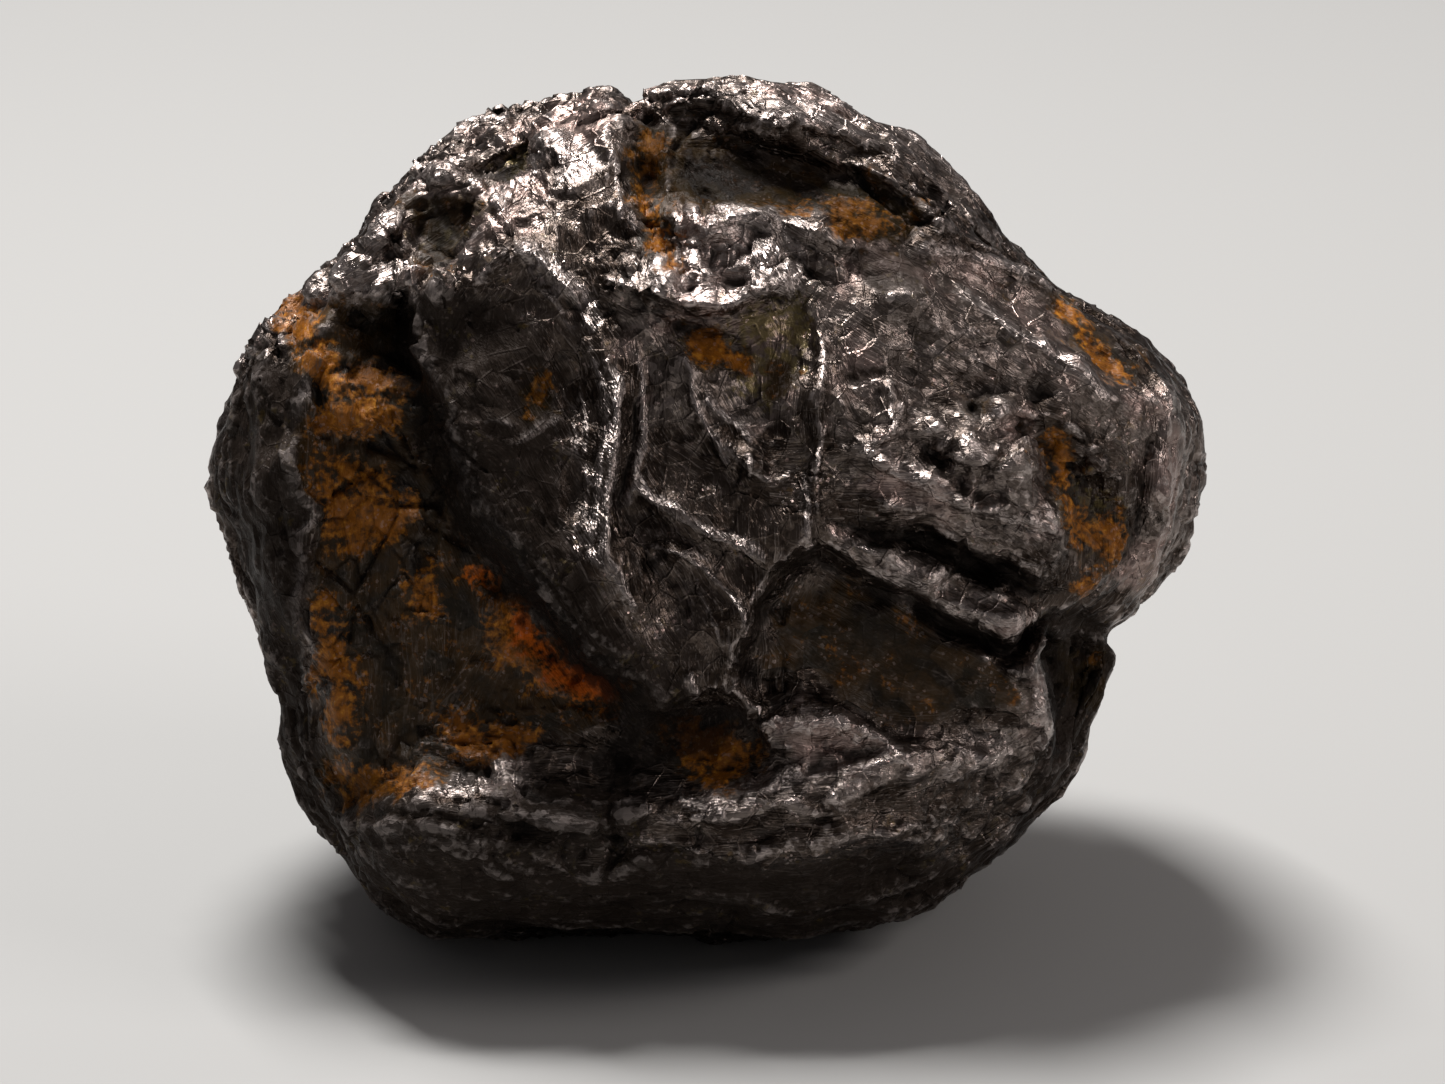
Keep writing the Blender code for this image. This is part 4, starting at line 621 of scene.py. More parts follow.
# Ledges where the leaves of the stack come out at the sides, coarse to fine: their spacing and step, and
# the random heights by which they wander and break off.
LEAVES = (
    (2.3, 0.4, ((9.0, 1.3), (3.1, 0.35)), ((4.3, 1.2),)),
    (0.62, 0.13, ((5.0, 1.8), (1.7, 0.7)), ((2.1, 1.2),)),
)
# How far round to the sides they fade in, where in the spacing a ledge rises and falls, which height of it
# moves nothing, and between which heights it is broken off and whole.
LEAF_FADE = (0.15, 0.75)
LEAF_RISE = (0, 0.25)
LEAF_FALL = (0.35, 1)
LEAF_LEVEL = 0.35
LEAF_BREAKS = (-0.5, 0.4)

# Soft random heights, as pairs of a cell size and a height: how crooked the drawn lines become, each axis
# with a pattern of its own, and how dented the lump is.
CROOKEDNESS = ((3.2, 0.6), (1.3, 0.22))
AXIS_SHIFTS = (20, 40, 60)
DENTS = ((5.5, 0.40), (2.2, 0.22), (1.1, 0.11))

# Relief of the surface, coarse to fine: the size of its cells along the grain, across it and out of the
# face, and how high it stands.
Grain = namedtuple("Grain", "size height")
SCALES = (
    Grain((2.6, 1.0, 0.9), 0.15),
    Grain((1.2, 0.45, 0.5), 0.075),
)
FIBRES = (
    Grain((4.2, 0.46, 0.6), 0.085),
    Grain((2.4, 0.2, 0.3), 0.04),
)
CHUNKS = (
    Grain((2.6, 1.1, 1.2), 0.34),
    Grain((1.2, 0.5, 0.6), 0.16),
)
CRUMPLES = (
    Grain((0.8, 0.8, 0.8), 0.06),
    Grain((0.36, 0.36, 0.36), 0.04),
)
CHUNK_WARP = ((1.6, 0.7), (0.6, 0.2))
CRACKS = (
    Grain((3.0, 2.2, 2.2), 0.2),
    Grain((1.5, 1.0, 1.0), 0.1),
)
CRACK_WIDTH = 0.09
# Cracks come in patches of about this size, and fade in where a random height is between these two.
CRACKED_PATCH = 3.1
CRACKED_FROM = (0.45, 0.6)

# The form of one cell: how far a scale or a chunk may step up from its neighbours, how steeply it is
# tilted, and how fast a scale's crown and edge fall away.
SCALE_STEP = 0.7
SCALE_SLOPE = 0.9
SCALE_CROWN = 0.25
SCALE_EDGE = 0.9
CHUNK_STEP = 0.4
CHUNK_SLOPE = 1.2
RIDGE_SHARPNESS = 3

# A salt is a whole number that picks a random pattern. Each kind of relief has its own, and each way of
# the grain and each size adds to it.
SCALE_SALT = 1000
FIBRE_SALT = 2000
CRUMPLE_SALT = 3000
CHUNK_SALT = 3500
CRACK_SALT = 4000
CRACKED_SALT = 4100
WAY_SALT = 10
LEVEL_SALT = 100
# Large numbers that stir a cell's place and its salt together, and the bits of each random number.
STIR = (374761393, 668265263, 2246822519, 3266489917)
BITS = 10

# How strong each kind of relief is, at first everywhere and then round some places of the near face.
# Chunks and crumples go together.
Patch = namedtuple("Patch", "at radius scales fibres crumples cracks")
EVERYWHERE = Patch(None, None, 0.8, 0.4, 0.5, 0.8)
PATCHES = (
    Patch((-9.4, 21.6), 3.4, 0.6, 0.1, 1.5, 1.0),
    Patch((-6.2, 24.2), 2.6, 0.6, 0.2, 1.3, 1.0),
    Patch((-12.6, 18.2), 2.6, 0.6, 0.2, 1.3, 1.0),
    Patch((-1.6, 21.4), 1.8, 0.6, 0.3, 1.3, 0.8),
    Patch((2.0, 25.2), 3.0, 0.9, 1.6, 0.7, 1.0),
    Patch((7.0, 22.2), 2.4, 0.9, 1.6, 0.5, 0.8),
    Patch((-9.8, 10.0), 2.8, 0.8, 0.15, 0.6, 1.2),
    Patch((-9.2, 14.6), 2.4, 0.8, 0.15, 0.6, 1.2),
    Patch((-8.6, 6.8), 2.4, 0.8, 0.15, 0.6, 1.2),
    Patch((-3.0, 15.0), 3.6, 0.4, 0.35, 0.3, 0.2),
    Patch((-5.6, 17.0), 2.6, 0.4, 0.25, 0.4, 0.3),
    Patch((-0.6, 10.4), 3.0, 0.4, 0.45, 0.25, 0.2),
    Patch((5.6, 8.6), 3.0, 0.3, 0.35, 0.12, 0.2),
    Patch((7.4, 15.2), 2.2, 0.6, 0.3, 1.6, 1.2),
    Patch((1.6, 20.4), 1.8, 0.5, 0.2, 1.0, 0.8),
    Patch((1.8, 22.8), 1.5, 0.3, 0.6, 0.15, 0.3),
    Patch((-8.1, 21.4), 0.9, 0.3, 0.1, 0.3, 0.3),
    Patch((7.6, 18.6), 3.2, 0.6, 0.7, 0.4, 0.4),
    Patch((6.0, 13.2), 2.2, 0.7, 0.7, 0.6, 0.6),
    Patch((13.4, 14.0), 2.4, 0.8, 0.4, 0.6, 0.6),
    Patch((3.2, 6.0), 2.2, 0.7, 0.3, 1.2, 0.9),
    Patch((-6.8, 5.0), 2.8, 0.7, 0.4, 1.1, 0.9),
    Patch((8.0, 5.4), 2.0, 0.7, 0.3, 1.0, 0.9),
)
# The depths, in w, between which the patches, the stains and the finer triangles of the near face fade in.
PATCH_DEPTHS = (-1, 1)
STAIN_DEPTHS = (0.5, 2.0)
DETAIL_DEPTHS = (-5, 2)

# The ways that the grain's texture is made in, and how quickly one changes over to the next.
GRAIN_WAYS = 6
WAY_CHANGE = (0.3, 0.7)
# The grain's way is worked out on a grid of the drawing: its reach along u and v, its step, and how softly
# each line's say falls off. Towards the sides it turns to run round the lump.
GRID_U = (-16, 16)
GRID_V = (-1, 28)
GRID_STEP = 0.5
GRAIN_SOFTNESS = 0.6
ROUND_FADE = (0.35, 0.75)
# How far a stain fades across its drawn edge.
STAIN_EDGE = 1.1

# The material's colours. The pale and worn metals serve both as paler grain and wear and as painted
# highlights, the pink as a painted sheen, and the near-black dull metal and the black as painted shade.
DARK_METAL = (0.030, 0.021, 0.016, 1)
GREY_METAL = (0.095, 0.073, 0.060, 1)
PALE_AND_LIT_METAL = (0.275, 0.228, 0.203, 1)
WORN_AND_LIT_METAL = (0.510, 0.440, 0.410, 1)
PINK_SHEEN = (0.500, 0.350, 0.310, 1)
DIM_SHADE_METAL = (0.017, 0.012, 0.009, 1)
OLIVE_BROWN = (0.165, 0.125, 0.034, 1)
SHADE_BLACK = (0.008, 0.006, 0.005, 1)
RUST_DARK = (0.013, 0.009, 0.004, 1)
RUST_BROWN = (0.055, 0.028, 0.008, 1)
RUST_ORANGE = (0.290, 0.096, 0.006, 1)
RUST_OCHRE = (0.560, 0.240, 0.026, 1)
RUST_RED = (0.800, 0.150, 0.008, 1)

# Its textures, in millimetres: clouds, scratches and hairs along the grain, and plates, flakes and sparks.
BROAD_CLOUD = 3.0
MIDDLE_CLOUD = 0.9
FINE_CLOUD = 0.22
WARP_SIZE = 1.3
WARP = 0.35
SCRATCH_SIZE = (2.6, 0.07, 0.07)
HAIR_SIZE = (4.6, 0.28, 0.28)
HAIR_WIDTH = 0.04
SCRATCH_DEPTH = 0.045
PLATE_SIZE = 0.95
PLATE_TILT = 0.28
FLAKE_SIZE = 0.27
FLAKE_TILT = 0.28
CREASE_WIDTH = 0.05
# Frayed leaf edges along the crests stand up, towards the top and a little to the back.
FRAY_WAY = (-0.15, 0.25, 0.95)
FRAY_TILT = 0.6
SPARK_SIZE = 0.085
SPARK_TILT = 0.7
HALF = 0.5
MIDDLE_GREY = (HALF, HALF, HALF)

# What the textures and stains give: a value between low and high becomes a share between start and end.
Span = namedtuple("Span", "low high start end", defaults=(0.0, 1.0))
HAIR_LINE = Span(0, HAIR_WIDTH, 1.0, 0.0)
CREASE_LINE = Span(0, CREASE_WIDTH, 1.0, 0.0)

# How clouds fray the edges of what is drawn, and how much of that each kind of edge takes.
RAGGED = Span(0.3, 0.7, -0.45, 0.45)
FINELY_RAGGED = Span(0.35, 0.65, -0.3, 0.3)
DIM_SHADE_RAGGED = 0.5
RED_RAGGED = 0.7
CREST_RAGGED = 0.35
WORN_AND_LIT_RAGGED = 0.12

# Where each finish, painted shade and painted highlight shows, by its drawn stains, or by how far the
# surface stands out or lies back.
RUST_SHOWS = Span(0.3, 0.8)
ORANGE_SHOWS = Span(0.35, 1.15)
RED_SHOWS = Span(0.4, 1.1)
OLIVE_SHOWS = Span(0.4, 1.2, 0.0, 0.8)
DEEP_SHADE_SHOWS = Span(0.2, 0.8, 0.0, 0.85)
HOLLOW_SHADE = Span(-0.20, -0.04, 0.85, 0.0)
FRESH_AND_LIT_SHOWS = Span(0.2, 0.9)
DIM_SHADE_SHOWS = Span(0.2, 0.8, 0.0, 0.95)
WORN_AND_LIT_SHOWS = Span(0.05, 0.17)
CREST_SHOWS = Span(0.3, 0.85)
CREST_SCRATCHED = Span(0.42, 0.58, 0.25, 1.0)
CREST_COVERED = 0.1
GLITTER_SHOWS = Span(0.25, 0.8)

# The metal's tone, from clouds, plates and flakes, and the pale lines, painted highlights, painted pink
# sheen and painted shade on it.
TONE_SHIFT = -0.25
TONE_FLAKES = 0.5
TONE_PLATES = 0.3
TONE = Span(0.25, 0.75)
FRESH_AND_LIT_GLITTER = Span(0, 1, 0.2, 0.75)
PALE_SCRATCHES = Span(0.53, 0.68, 0.0, 0.5)
HAIR_LIGHT = 0.6
CREASE_LIGHT = 0.3
PALE_LINES = Span(0.42, 0.62, 0.0, 0.7)
PINK_SHEEN_CLOUDS = Span(0.5, 0.65, 0.0, 0.4)
DIM_SHADE_COVERS = 0.9
WORN_AND_LIT_GLITTER = Span(0, 1, 0.2, 0.8)
CREST_GLITTER = Span(0, 1, 0.6, 1.0)
SHINE_IN_DIM_SHADE = Span(0, 1, 0.9, 0.3)

# The rust's tone, its spots of ochre and red, the pale metal colour along its lines, painted as glints,
# and painted shade on it.
BROWN_PLATES = 0.3
BROWN = Span(0.4, 0.9)
OCHRE_SPOTS = Span(0.54, 0.72, 0.0, 0.7)
RED_COVERS = 0.85
DIM_SHADE_ON_RUST = 0.7
WORN_AND_LIT_RUST = Span(0, 0.6, 0.15, 0.8)
RUST_SCRATCHES = Span(0.55, 0.7, 0.0, 0.3)
SCRATCHED_CLOUDS = Span(0.45, 0.62, 0.1, 1.0)
SCRATCH_COVERED = 0.1
RUST_HAIRS = Span(0.42, 0.58, 0.0, 0.18)
HAIR_COVERED = 0.3
RUST_CREASES = Span(0.5, 0.62, 0.0, 0.2)

# Which of the smallest cells are sparks, painted as glints, what hides them, and how strongly they show.
SPARK_CHOICE = Span(0.90, 0.93)
DIM_SHADE_HIDES = 0.8
RUST_HIDES = 0.6
CLOUD_HIDES = Span(0.5, 0.62, 0.9, 0.0)
SPARK_COLOUR = 0.6

# How dull the surface is, and what that does to its metal, its gloss and its roughness.
OLIVE_DULLS = 0.6
DIM_SHADE_DULLS = 0.85
MATT = 0.15
GLOSS = Span(0, 1, 0.5, 0.2)
FLAKE_POLISH = 0.3
POLISH = Span(0.4, 1.0, 0.42, 0.24)
DULL_ROUGHNESS = Span(0, 1, 0.0, 0.15)

# How far flakes tilt, from plain metal to crests, how glitter frays the crests, and what makes the bump.
FLAKES_TILT = Span(0, 1, FLAKE_TILT, 0.3 * FLAKE_TILT)
FRAYED_GLITTER = Span(0, 1, 0.7, 1.0)
RIBS = Span(0, 1, 0.4, 0.1)
FINE_BUMP = 0.6

# The Mix node's sockets for two colours, and for the colour that comes out.
COLOUR_SOCKETS = (6, 7)
COLOUR_RESULT = 2

# The stage, in metres, and the camera's distance, aim and frame, in the drawing's millimetres.
FLOOR_SIZE = 1.2
FLOOR_DROP = 0.01 * MM
FLOOR_ROUGHNESS = 0.7
FLOOR_COLOUR = (0.42, 0.42, 0.41, 1)
SKY_COLOUR = (0.88, 0.84, 0.86, 1)
SKY_STRENGTH = 0.14
LIT_SPOT = (0, 0, 0.012)
LIGHTS = (
    ("key light", (-0.035, 0.07, 0.22), 0.07, 0.80, (1.0, 0.98, 0.97)),
    ("fill light", (0.20, -0.06, 0.15), 0.10, 0.16, (1.0, 0.93, 0.91)),
)
CAMERA_DISTANCE = 300
CAMERA_AIM = (0.379, 12.21)
FRAME_WIDTH = 43.79
SENSOR_WIDTH = 36
NEAREST_SEEN = 0.01


def ease(low, high, x):
    """0 below low, 1 above high, and a smooth rise between."""
    t = np.clip((x - low) / (high - low), 0, 1)
    return t * t * (3 - 2 * t)


def smooth_path(points, closed=False, steps=6):
    """A Catmull-Rom curve through the points, as an array of closer points."""
    p = np.array(points, float)
    if closed:
        p = np.vstack([p[-1], p, p[0], p[1]])
    else:
        p = np.vstack([2 * p[0] - p[1], p, 2 * p[-1] - p[-2]])
    made = []
    for a, b, c, d in zip(p[:-3], p[1:-2], p[2:-1], p[3:]):
        for t in np.arange(steps) / steps:
            bend = (2 * a - 5 * b + 4 * c - d) * t**2 + (3 * b - a - 3 * c + d) * t**3
            made.append(b + (c - a) * t / 2 + bend / 2)
    if not closed:
        made.append(p[-2])
    return np.array(made)


def outline_reach(angle):
    """How far the drawn outline lies from the middle, in each direction round the face."""
    path = smooth_path(OUTLINE, closed=True) - MIDDLE
    around = np.arctan2(path[:, 1], path[:, 0])
    order = np.argsort(around)
    return np.interp(angle, around[order], np.hypot(*path.T)[order] - SKIN, period=2 * math.pi)


def plain_lump(direction):
    """The uncarved lump in (u, v, w): a squarish ellipsoid with the outline as its waist."""
    across = np.hypot(direction[:, 0], direction[:, 1])
    reach = outline_reach(np.arctan2(direction[:, 1], direction[:, 0]))
    depth = np.where(direction[:, 2] > 0, FRONT_DEPTH, BACK_DEPTH)
    through = np.abs(direction[:, 2]) / depth
    size = ((across / reach) ** SQUARENESS + through**SQUARENESS) ** (-1 / SQUARENESS)
    return direction * size[:, None] + (*MIDDLE, 0)


def on_plain_lump(places, side):
    """Places (u, v) of the drawing as (u, v, w) on the plain lump's near (side 1) or far (side -1) half."""
    offset = np.array(places, float) - MIDDLE
    share = np.hypot(*offset.T) / outline_reach(np.arctan2(offset[:, 1], offset[:, 0]))
    depth = FRONT_DEPTH if side > 0 else BACK_DEPTH
    height = depth * np.clip(1 - share**SQUARENESS, 0, 1) ** (1 / SQUARENESS)
    return np.column_stack([offset + MIDDLE, side * height])


def dents(points, octaves, shift=0):
    """Soft random heights over the surface. Each shift gives another pattern."""
    height = np.zeros(len(points))
    for scale, size in octaves:
        start = Vector((scale + shift, 3 * scale, 5 * scale))
        height += size * np.array([noise.noise(Vector(p) / scale + start) for p in points])
    return height


def wandering(points, octaves):
    """A small sideways step at each point, for lines that aren't drawn with a ruler."""
    return np.column_stack([dents(points, octaves, shift) for shift in AXIS_SHIFTS])


def inside_corners(points, corners, edge):
    """1 inside the corners, 0 outside, and a smooth change over the width of the edge."""
    path = smooth_path(corners, closed=True, steps=3)
    inside = np.zeros(len(points))
    low, high = path.min(axis=0) - edge, path.max(axis=0) + edge
    near = np.flatnonzero(((points > low) & (points < high)).all(axis=1))
    here = points[near]
    distance = np.full(len(here), np.inf)
    crossings = np.zeros(len(here), int)
    for a, b in zip(path, np.roll(path, -1, axis=0)):
        run = b - a
        t = np.clip((here - a) @ run / (run @ run), 0, 1)
        distance = np.minimum(distance, np.hypot(*(here - a - t[:, None] * run).T))
        spans = (a[1] > here[:, 1]) != (b[1] > here[:, 1])
        meets = a[0] + (here[:, 1] - a[1]) * run[0] / (run[1] if run[1] else 1)
        crossings += spans & (here[:, 0] < meets)
    signed = np.where(crossings % 2 == 1, distance, -distance)
    inside[near] = ease(-edge / 2, edge / 2, signed)
    return inside


def fold_height(points, fold, side, widths=(1, 1)):
    """The fold's height at each point: full along its line, falling over each flank and towards its ends.

    On side 0 the points and the fold are flat on the drawing. The widths widen or narrow its two flanks.
    """
    path = smooth_path(fold.points)
    if side:
        path = on_plain_lump(path, side)
    reach = FOLD_REACH * max(fold.flanks)
    close = ((points > path.min(axis=0) - reach) & (points < path.max(axis=0) + reach)).all(axis=1)
    near = np.flatnonzero(close)
    here = points[near]
    nearest = np.full(len(here), np.inf)
    rise = np.zeros(len(here))
    for i, (a, b) in enumerate(zip(path[:-1], path[1:])):
        run = b - a
        t = np.clip((here - a) @ run / (run @ run), 0, 1)
        away = here - a - t[:, None] * run
        distance = np.linalg.norm(away, axis=1)
        left = (run[0] * away[:, 1] - run[1] * away[:, 0]) > 0
        width = np.where(left, *np.multiply(fold.flanks, widths))
        along = (i + t) / (len(path) - 1)
        taper = ease(0, FOLD_ENDS, along) * ease(0, FOLD_ENDS, 1 - along)
        closer = distance < nearest
        rise[closer] = (fold.height * taper * np.exp(-((distance / width) ** CRISPNESS)))[closer]
        nearest = np.minimum(nearest, distance)
    height = np.zeros(len(points))
    height[near] = rise
    return height


def lump_height(points, lump, side):
    """The lump's height at each point: full at its middle, and a third of that at its radius."""
    centre = on_plain_lump([lump.at], side) if side else np.array([lump.at])
    return lump.height * np.exp(-((np.linalg.norm(points - centre, axis=1) / lump.radius) ** 2))


def crest_lines(places):
    """How bright the fine folds are: 1 along the tops of high ones, less on low ones, 0 beside them."""
    lines = np.zeros(len(places))
    for fold in FINE_FOLDS:
        if fold.height > 0:
            lines = np.maximum(lines, fold_height(places, fold, 0, FINE_FLANKS))
    return np.minimum(lines / BRIGHT_HEIGHT, 1)


def fine_creases(places):
    """How high the fine folds and lumps stand at each place of the drawing."""
    creases = sum(fold_height(places, fold, 0, FINE_FLANKS) for fold in FINE_FOLDS) * FINE_HEIGHT
    creases += sum(lump_height(places, lump, 0) for lump in FINE_LUMPS)
    return creases


def carve(plain, drawn, facing, outward, features, side):
    """How far one face's plates, folds and lumps move each point of the plain lump.

    The features are looked up at the drawn points, which wander about the plain ones.
    """
    plates, folds, lumps = features
    move = np.zeros_like(plain)
    for plate in plates:
        u, v, w = plate.at
        plane = w + plate.slope[0] * (plain[:, 0] - u) + plate.slope[1] * (plain[:, 1] - v)
        plane = np.minimum(plane, side * plain[:, 2])
        share = inside_corners(drawn[:, :2], plate.corners, plate.edge) * ease(*PLATE_FADE, facing)
        move[:, 2] += share * (side * plane - plain[:, 2] - move[:, 2])
    rise = sum(fold_height(drawn, fold, side) for fold in folds)
    rise += sum(lump_height(drawn, lump, side) for lump in lumps)
    return move + pushed_way(outward, side) * (rise * ease(*FOLD_FADE, facing))[:, None]


def pushed_way(outward, side):
    """The way that folds stand: outward, and on a face more straight out of it."""
    towards = outward + side * np.outer(ease(*PUSH_FADE, side * outward[:, 2]), (0, 0, PUSH))
    return towards / np.linalg.norm(towards, axis=1)[:, None]


def leaf_ledges(points, outward):
    """The steps of the leaves' edges out of the sides, like the edge of a well-thumbed book."""
    rise = np.zeros(len(points))
    fade = ease(*LEAF_FADE, 1 - np.abs(outward[:, 2]))
    for spacing, step, wander, breaks in LEAVES:
        phase = (points[:, 2] / spacing + dents(points, wander)) % 1
        tread = ease(*LEAF_RISE, phase) * (1 - ease(*LEAF_FALL, phase))
        whole = ease(*LEAF_BREAKS, dents(points + spacing, breaks))
        rise += step * fade * whole * (tread - LEAF_LEVEL)
    return rise


def read_points(mesh):
    """The mesh's points as rows (x, y, z)."""
    points = np.empty(len(mesh.vertices) * 3, np.float32)
    mesh.vertices.foreach_get("co", points)
    return points.reshape(-1, 3).astype(float)


def write_points(mesh, points):
    """Moves the mesh's points to the rows (x, y, z)."""
    mesh.vertices.foreach_set("co", points.astype(np.float32).ravel())
    mesh.update()


def read_corners(mesh):
    """The three points of each of the mesh's triangles, by number."""
    corners = np.empty(len(mesh.loops), np.int32)
    mesh.loops.foreach_get("vertex_index", corners)
    return corners.reshape(-1, 3)


def outward_of(points, corners):
    """The normal at each point, averaged from the triangles round it."""
    a, b, c = (points[corners[:, i]] for i in range(3))
    facing = np.cross(b - a, c - a)
    normals = np.column_stack([
        np.bincount(corners.ravel(), np.repeat(facing[:, axis], 3), len(points)) for axis in range(3)
    ])
    return normals / np.linalg.norm(normals, axis=1)[:, None]


def scrambled(cells, salt):
    """Three fixed random numbers from 0 to 1 for each whole-numbered cell (i, j, k)."""
    i, j, k = cells.T.astype(np.int64).astype(np.uint32)
    first, second, third, fourth = (np.uint32(number) for number in STIR)
    h = i * first + j * second + k * third
    h += np.uint32(salt * STIR[3] % 2**32)
    h = (h ^ (h >> np.uint32(15))) * third
    h = (h ^ (h >> np.uint32(13))) * fourth
    h ^= h >> np.uint32(16)
    parts = [(h >> np.uint32(shift)) & np.uint32(2**BITS - 1) for shift in (0, BITS, 2 * BITS)]
    return np.column_stack(parts) / 2**BITS


def swell(cells, salt):
    """A smooth random height from 0 to 1 that changes from cell to cell."""
    base = np.floor(cells)
    share = ease(0, 1, cells - base)
    height = np.zeros(len(cells))
    for step in product((0, 1), repeat=3):
        weight = np.where(step, share, 1 - share).prod(axis=1)
        height += weight * scrambled(base + step, salt)[:, 0]
    return height


def ridges(cells, salt):
    """Sharp crests from 0 to 1 that wind between the cells."""
    return (1 - np.abs(2 * swell(cells, salt) - 1)) ** RIDGE_SHARPNESS


def seeds_round(cells, salt):
    """Each of the 27 cells round a point, with the way from its seed and that way's length squared."""
    base = np.floor(cells)
    for step in product((-1, 0, 1), repeat=3):
        cell = base + step
        away = cells - cell - scrambled(cell, salt)
        yield cell, away, (away**2).sum(axis=1)


def facet(cell, away, salt, step, slope):
    """The height of each cell's own tilted plane, this way away from its seed."""
    tilt = scrambled(cell, salt + 1) - HALF
    return step * (tilt.sum(axis=1) % 1) + slope * (away * tilt).sum(axis=1)


def overlapping(cells, salt):
    """Scales, one to a cell: each is a tilted flake with steep edges, and the highest one shows."""
    highest = np.full(len(cells), -1.0)
    for cell, away, reach in seeds_round(cells, salt):
        plane = facet(cell, away, salt, SCALE_STEP, SCALE_SLOPE)
        highest = np.maximum(highest, plane - SCALE_CROWN * reach - SCALE_EDGE * reach**3)
    return highest


def chunks(cells, salt):
    """Flat facets, one to a cell, each tilted its own way, with a step from one to the next."""
    nearest = np.full(len(cells), np.inf)
    height = np.zeros(len(cells))
    for cell, away, reach in seeds_round(cells, salt):
        closer = reach < nearest
        height[closer] = facet(cell, away, salt, CHUNK_STEP, CHUNK_SLOPE)[closer]
        nearest = np.minimum(nearest, reach)
    return height


def fissures(cells, salt):
    """1 in the cracks between cells, and 0 elsewhere."""
    first = np.full(len(cells), np.inf)
    second = np.full(len(cells), np.inf)
    for _, _, reach in seeds_round(cells, salt):
        distance = np.sqrt(reach)
        second = np.minimum(second, np.maximum(first, distance))
        first = np.minimum(first, distance)
    return 1 - ease(0, CRACK_WIDTH, second - first)


def grain_grid():
    """The grain's way as (cos, sin) of twice its angle, row by row of the grid, and the grid's u and v."""
    lines = [np.array(f.points, float) for f in FOLDS + BACK_FOLDS] + [np.array(g, float) for g in GRAIN]
    starts = np.vstack([line[:-1] for line in lines])
    runs = np.vstack([line[1:] - line[:-1] for line in lines])
    length = np.hypot(*runs.T)
    twice = 2 * np.arctan2(runs[:, 1], runs[:, 0])
    side, up = (np.arange(low, high + GRID_STEP / 2, GRID_STEP) for low, high in (GRID_U, GRID_V))
    grid = np.array([(u, v) for v in up for u in side])
    turn = np.zeros((len(grid), 2))
    for start, run, size, double in zip(starts, runs, length, twice):
        t = np.clip((grid - start) @ run / size**2, 0, 1)
        weight = size / (((grid - start - t[:, None] * run) ** 2).sum(axis=1) + GRAIN_SOFTNESS) ** 2
        turn += weight[:, None] * (math.cos(double), math.sin(double))
    return turn / np.linalg.norm(turn, axis=1)[:, None], side, up


def grain_angle(points, outward):
    """Which way the grain runs at each point, in the plane of the drawing.

    It runs along the nearest folds on the face, and round the lump on its sides.
    """
    turn, side, up = grain_grid()
    column = np.clip(np.round((points[:, 0] - side[0]) / GRID_STEP), 0, len(side) - 1).astype(int)
    row = np.clip(np.round((points[:, 1] - up[0]) / GRID_STEP), 0, len(up) - 1).astype(int)
    on_face = turn[row * len(side) + column]
    round_angle = 2 * (np.arctan2(outward[:, 1], outward[:, 0]) + math.pi / 2)
    round_lump = np.column_stack([np.cos(round_angle), np.sin(round_angle)])
    sideways = ease(*ROUND_FADE, 1 - np.abs(outward[:, 2]))[:, None]
    mixed = on_face * (1 - sideways) + round_lump * sideways
    return np.arctan2(mixed[:, 1], mixed[:, 0]) / 2


def grain_weights(angle):
    """How much of each grain way's texture each point has. Neighbouring ways change over quickly."""
    turns = (angle / math.pi * GRAIN_WAYS) % GRAIN_WAYS
    lower = np.floor(turns).astype(int) % GRAIN_WAYS
    share = ease(*WAY_CHANGE, turns - np.floor(turns))
    weights = np.zeros((len(angle), GRAIN_WAYS))
    weights[np.arange(len(angle)), lower] = 1 - share
    weights[np.arange(len(angle)), (lower + 1) % GRAIN_WAYS] += share
    return weights


def along_grain(points, way):
    """The points in (along, across, out) of one grain way."""
    angle = math.pi * way / GRAIN_WAYS
    along = points[:, 0] * math.cos(angle) + points[:, 1] * math.sin(angle)
    across = points[:, 1] * math.cos(angle) - points[:, 0] * math.sin(angle)
    return np.column_stack([along, across, points[:, 2]])


def strengths(points):
    """How strong scales, fibres, crumples and cracks are at each point, as four columns."""
    strength = np.tile(np.array(EVERYWHERE[2:], float), (len(points), 1))
    near = ease(*PATCH_DEPTHS, points[:, 2])
    for patch in PATCHES:
        away = ((points[:, :2] - patch.at) ** 2).sum(axis=1)
        share = (near * np.exp(-((away / patch.radius**2) ** 2)))[:, None]
        strength += share * (np.array(patch[2:]) - strength)
    return strength


def grained(points, weights, kinds, pattern, salt):
    """A pattern laid along the grain, at each of its sizes."""
    relief = np.zeros(len(points))
    for level, kind in enumerate(kinds):
        for way in range(GRAIN_WAYS):
            here = np.flatnonzero(weights[:, way] > 0)
            cells = along_grain(points[here], way) / kind.size
            own_salt = salt + WAY_SALT * way + LEVEL_SALT * level
            relief[here] += kind.height * weights[here, way] * pattern(cells, own_salt)
    return relief


def skin_relief(points, weights):
    """How far the mineral's fine relief stands out at each point."""
    scales, fibres, crumples, cracks = strengths(points).T
    relief = scales * grained(points, weights, SCALES, overlapping, SCALE_SALT)
    relief += fibres * grained(points, weights, FIBRES, ridges, FIBRE_SALT)
    for level, kind in enumerate(CRUMPLES):
        relief += crumples * kind.height * ridges(points / kind.size, CRUMPLE_SALT + level)
    bent = points + wandering(points, CHUNK_WARP)
    relief += crumples * grained(bent, weights, CHUNKS, chunks, CHUNK_SALT)
    cracked = ease(*CRACKED_FROM, swell(points / CRACKED_PATCH, CRACKED_SALT))
    relief -= cracks * cracked * grained(points, weights, CRACKS, fissures, CRACK_SALT)
    return relief - relief.mean()


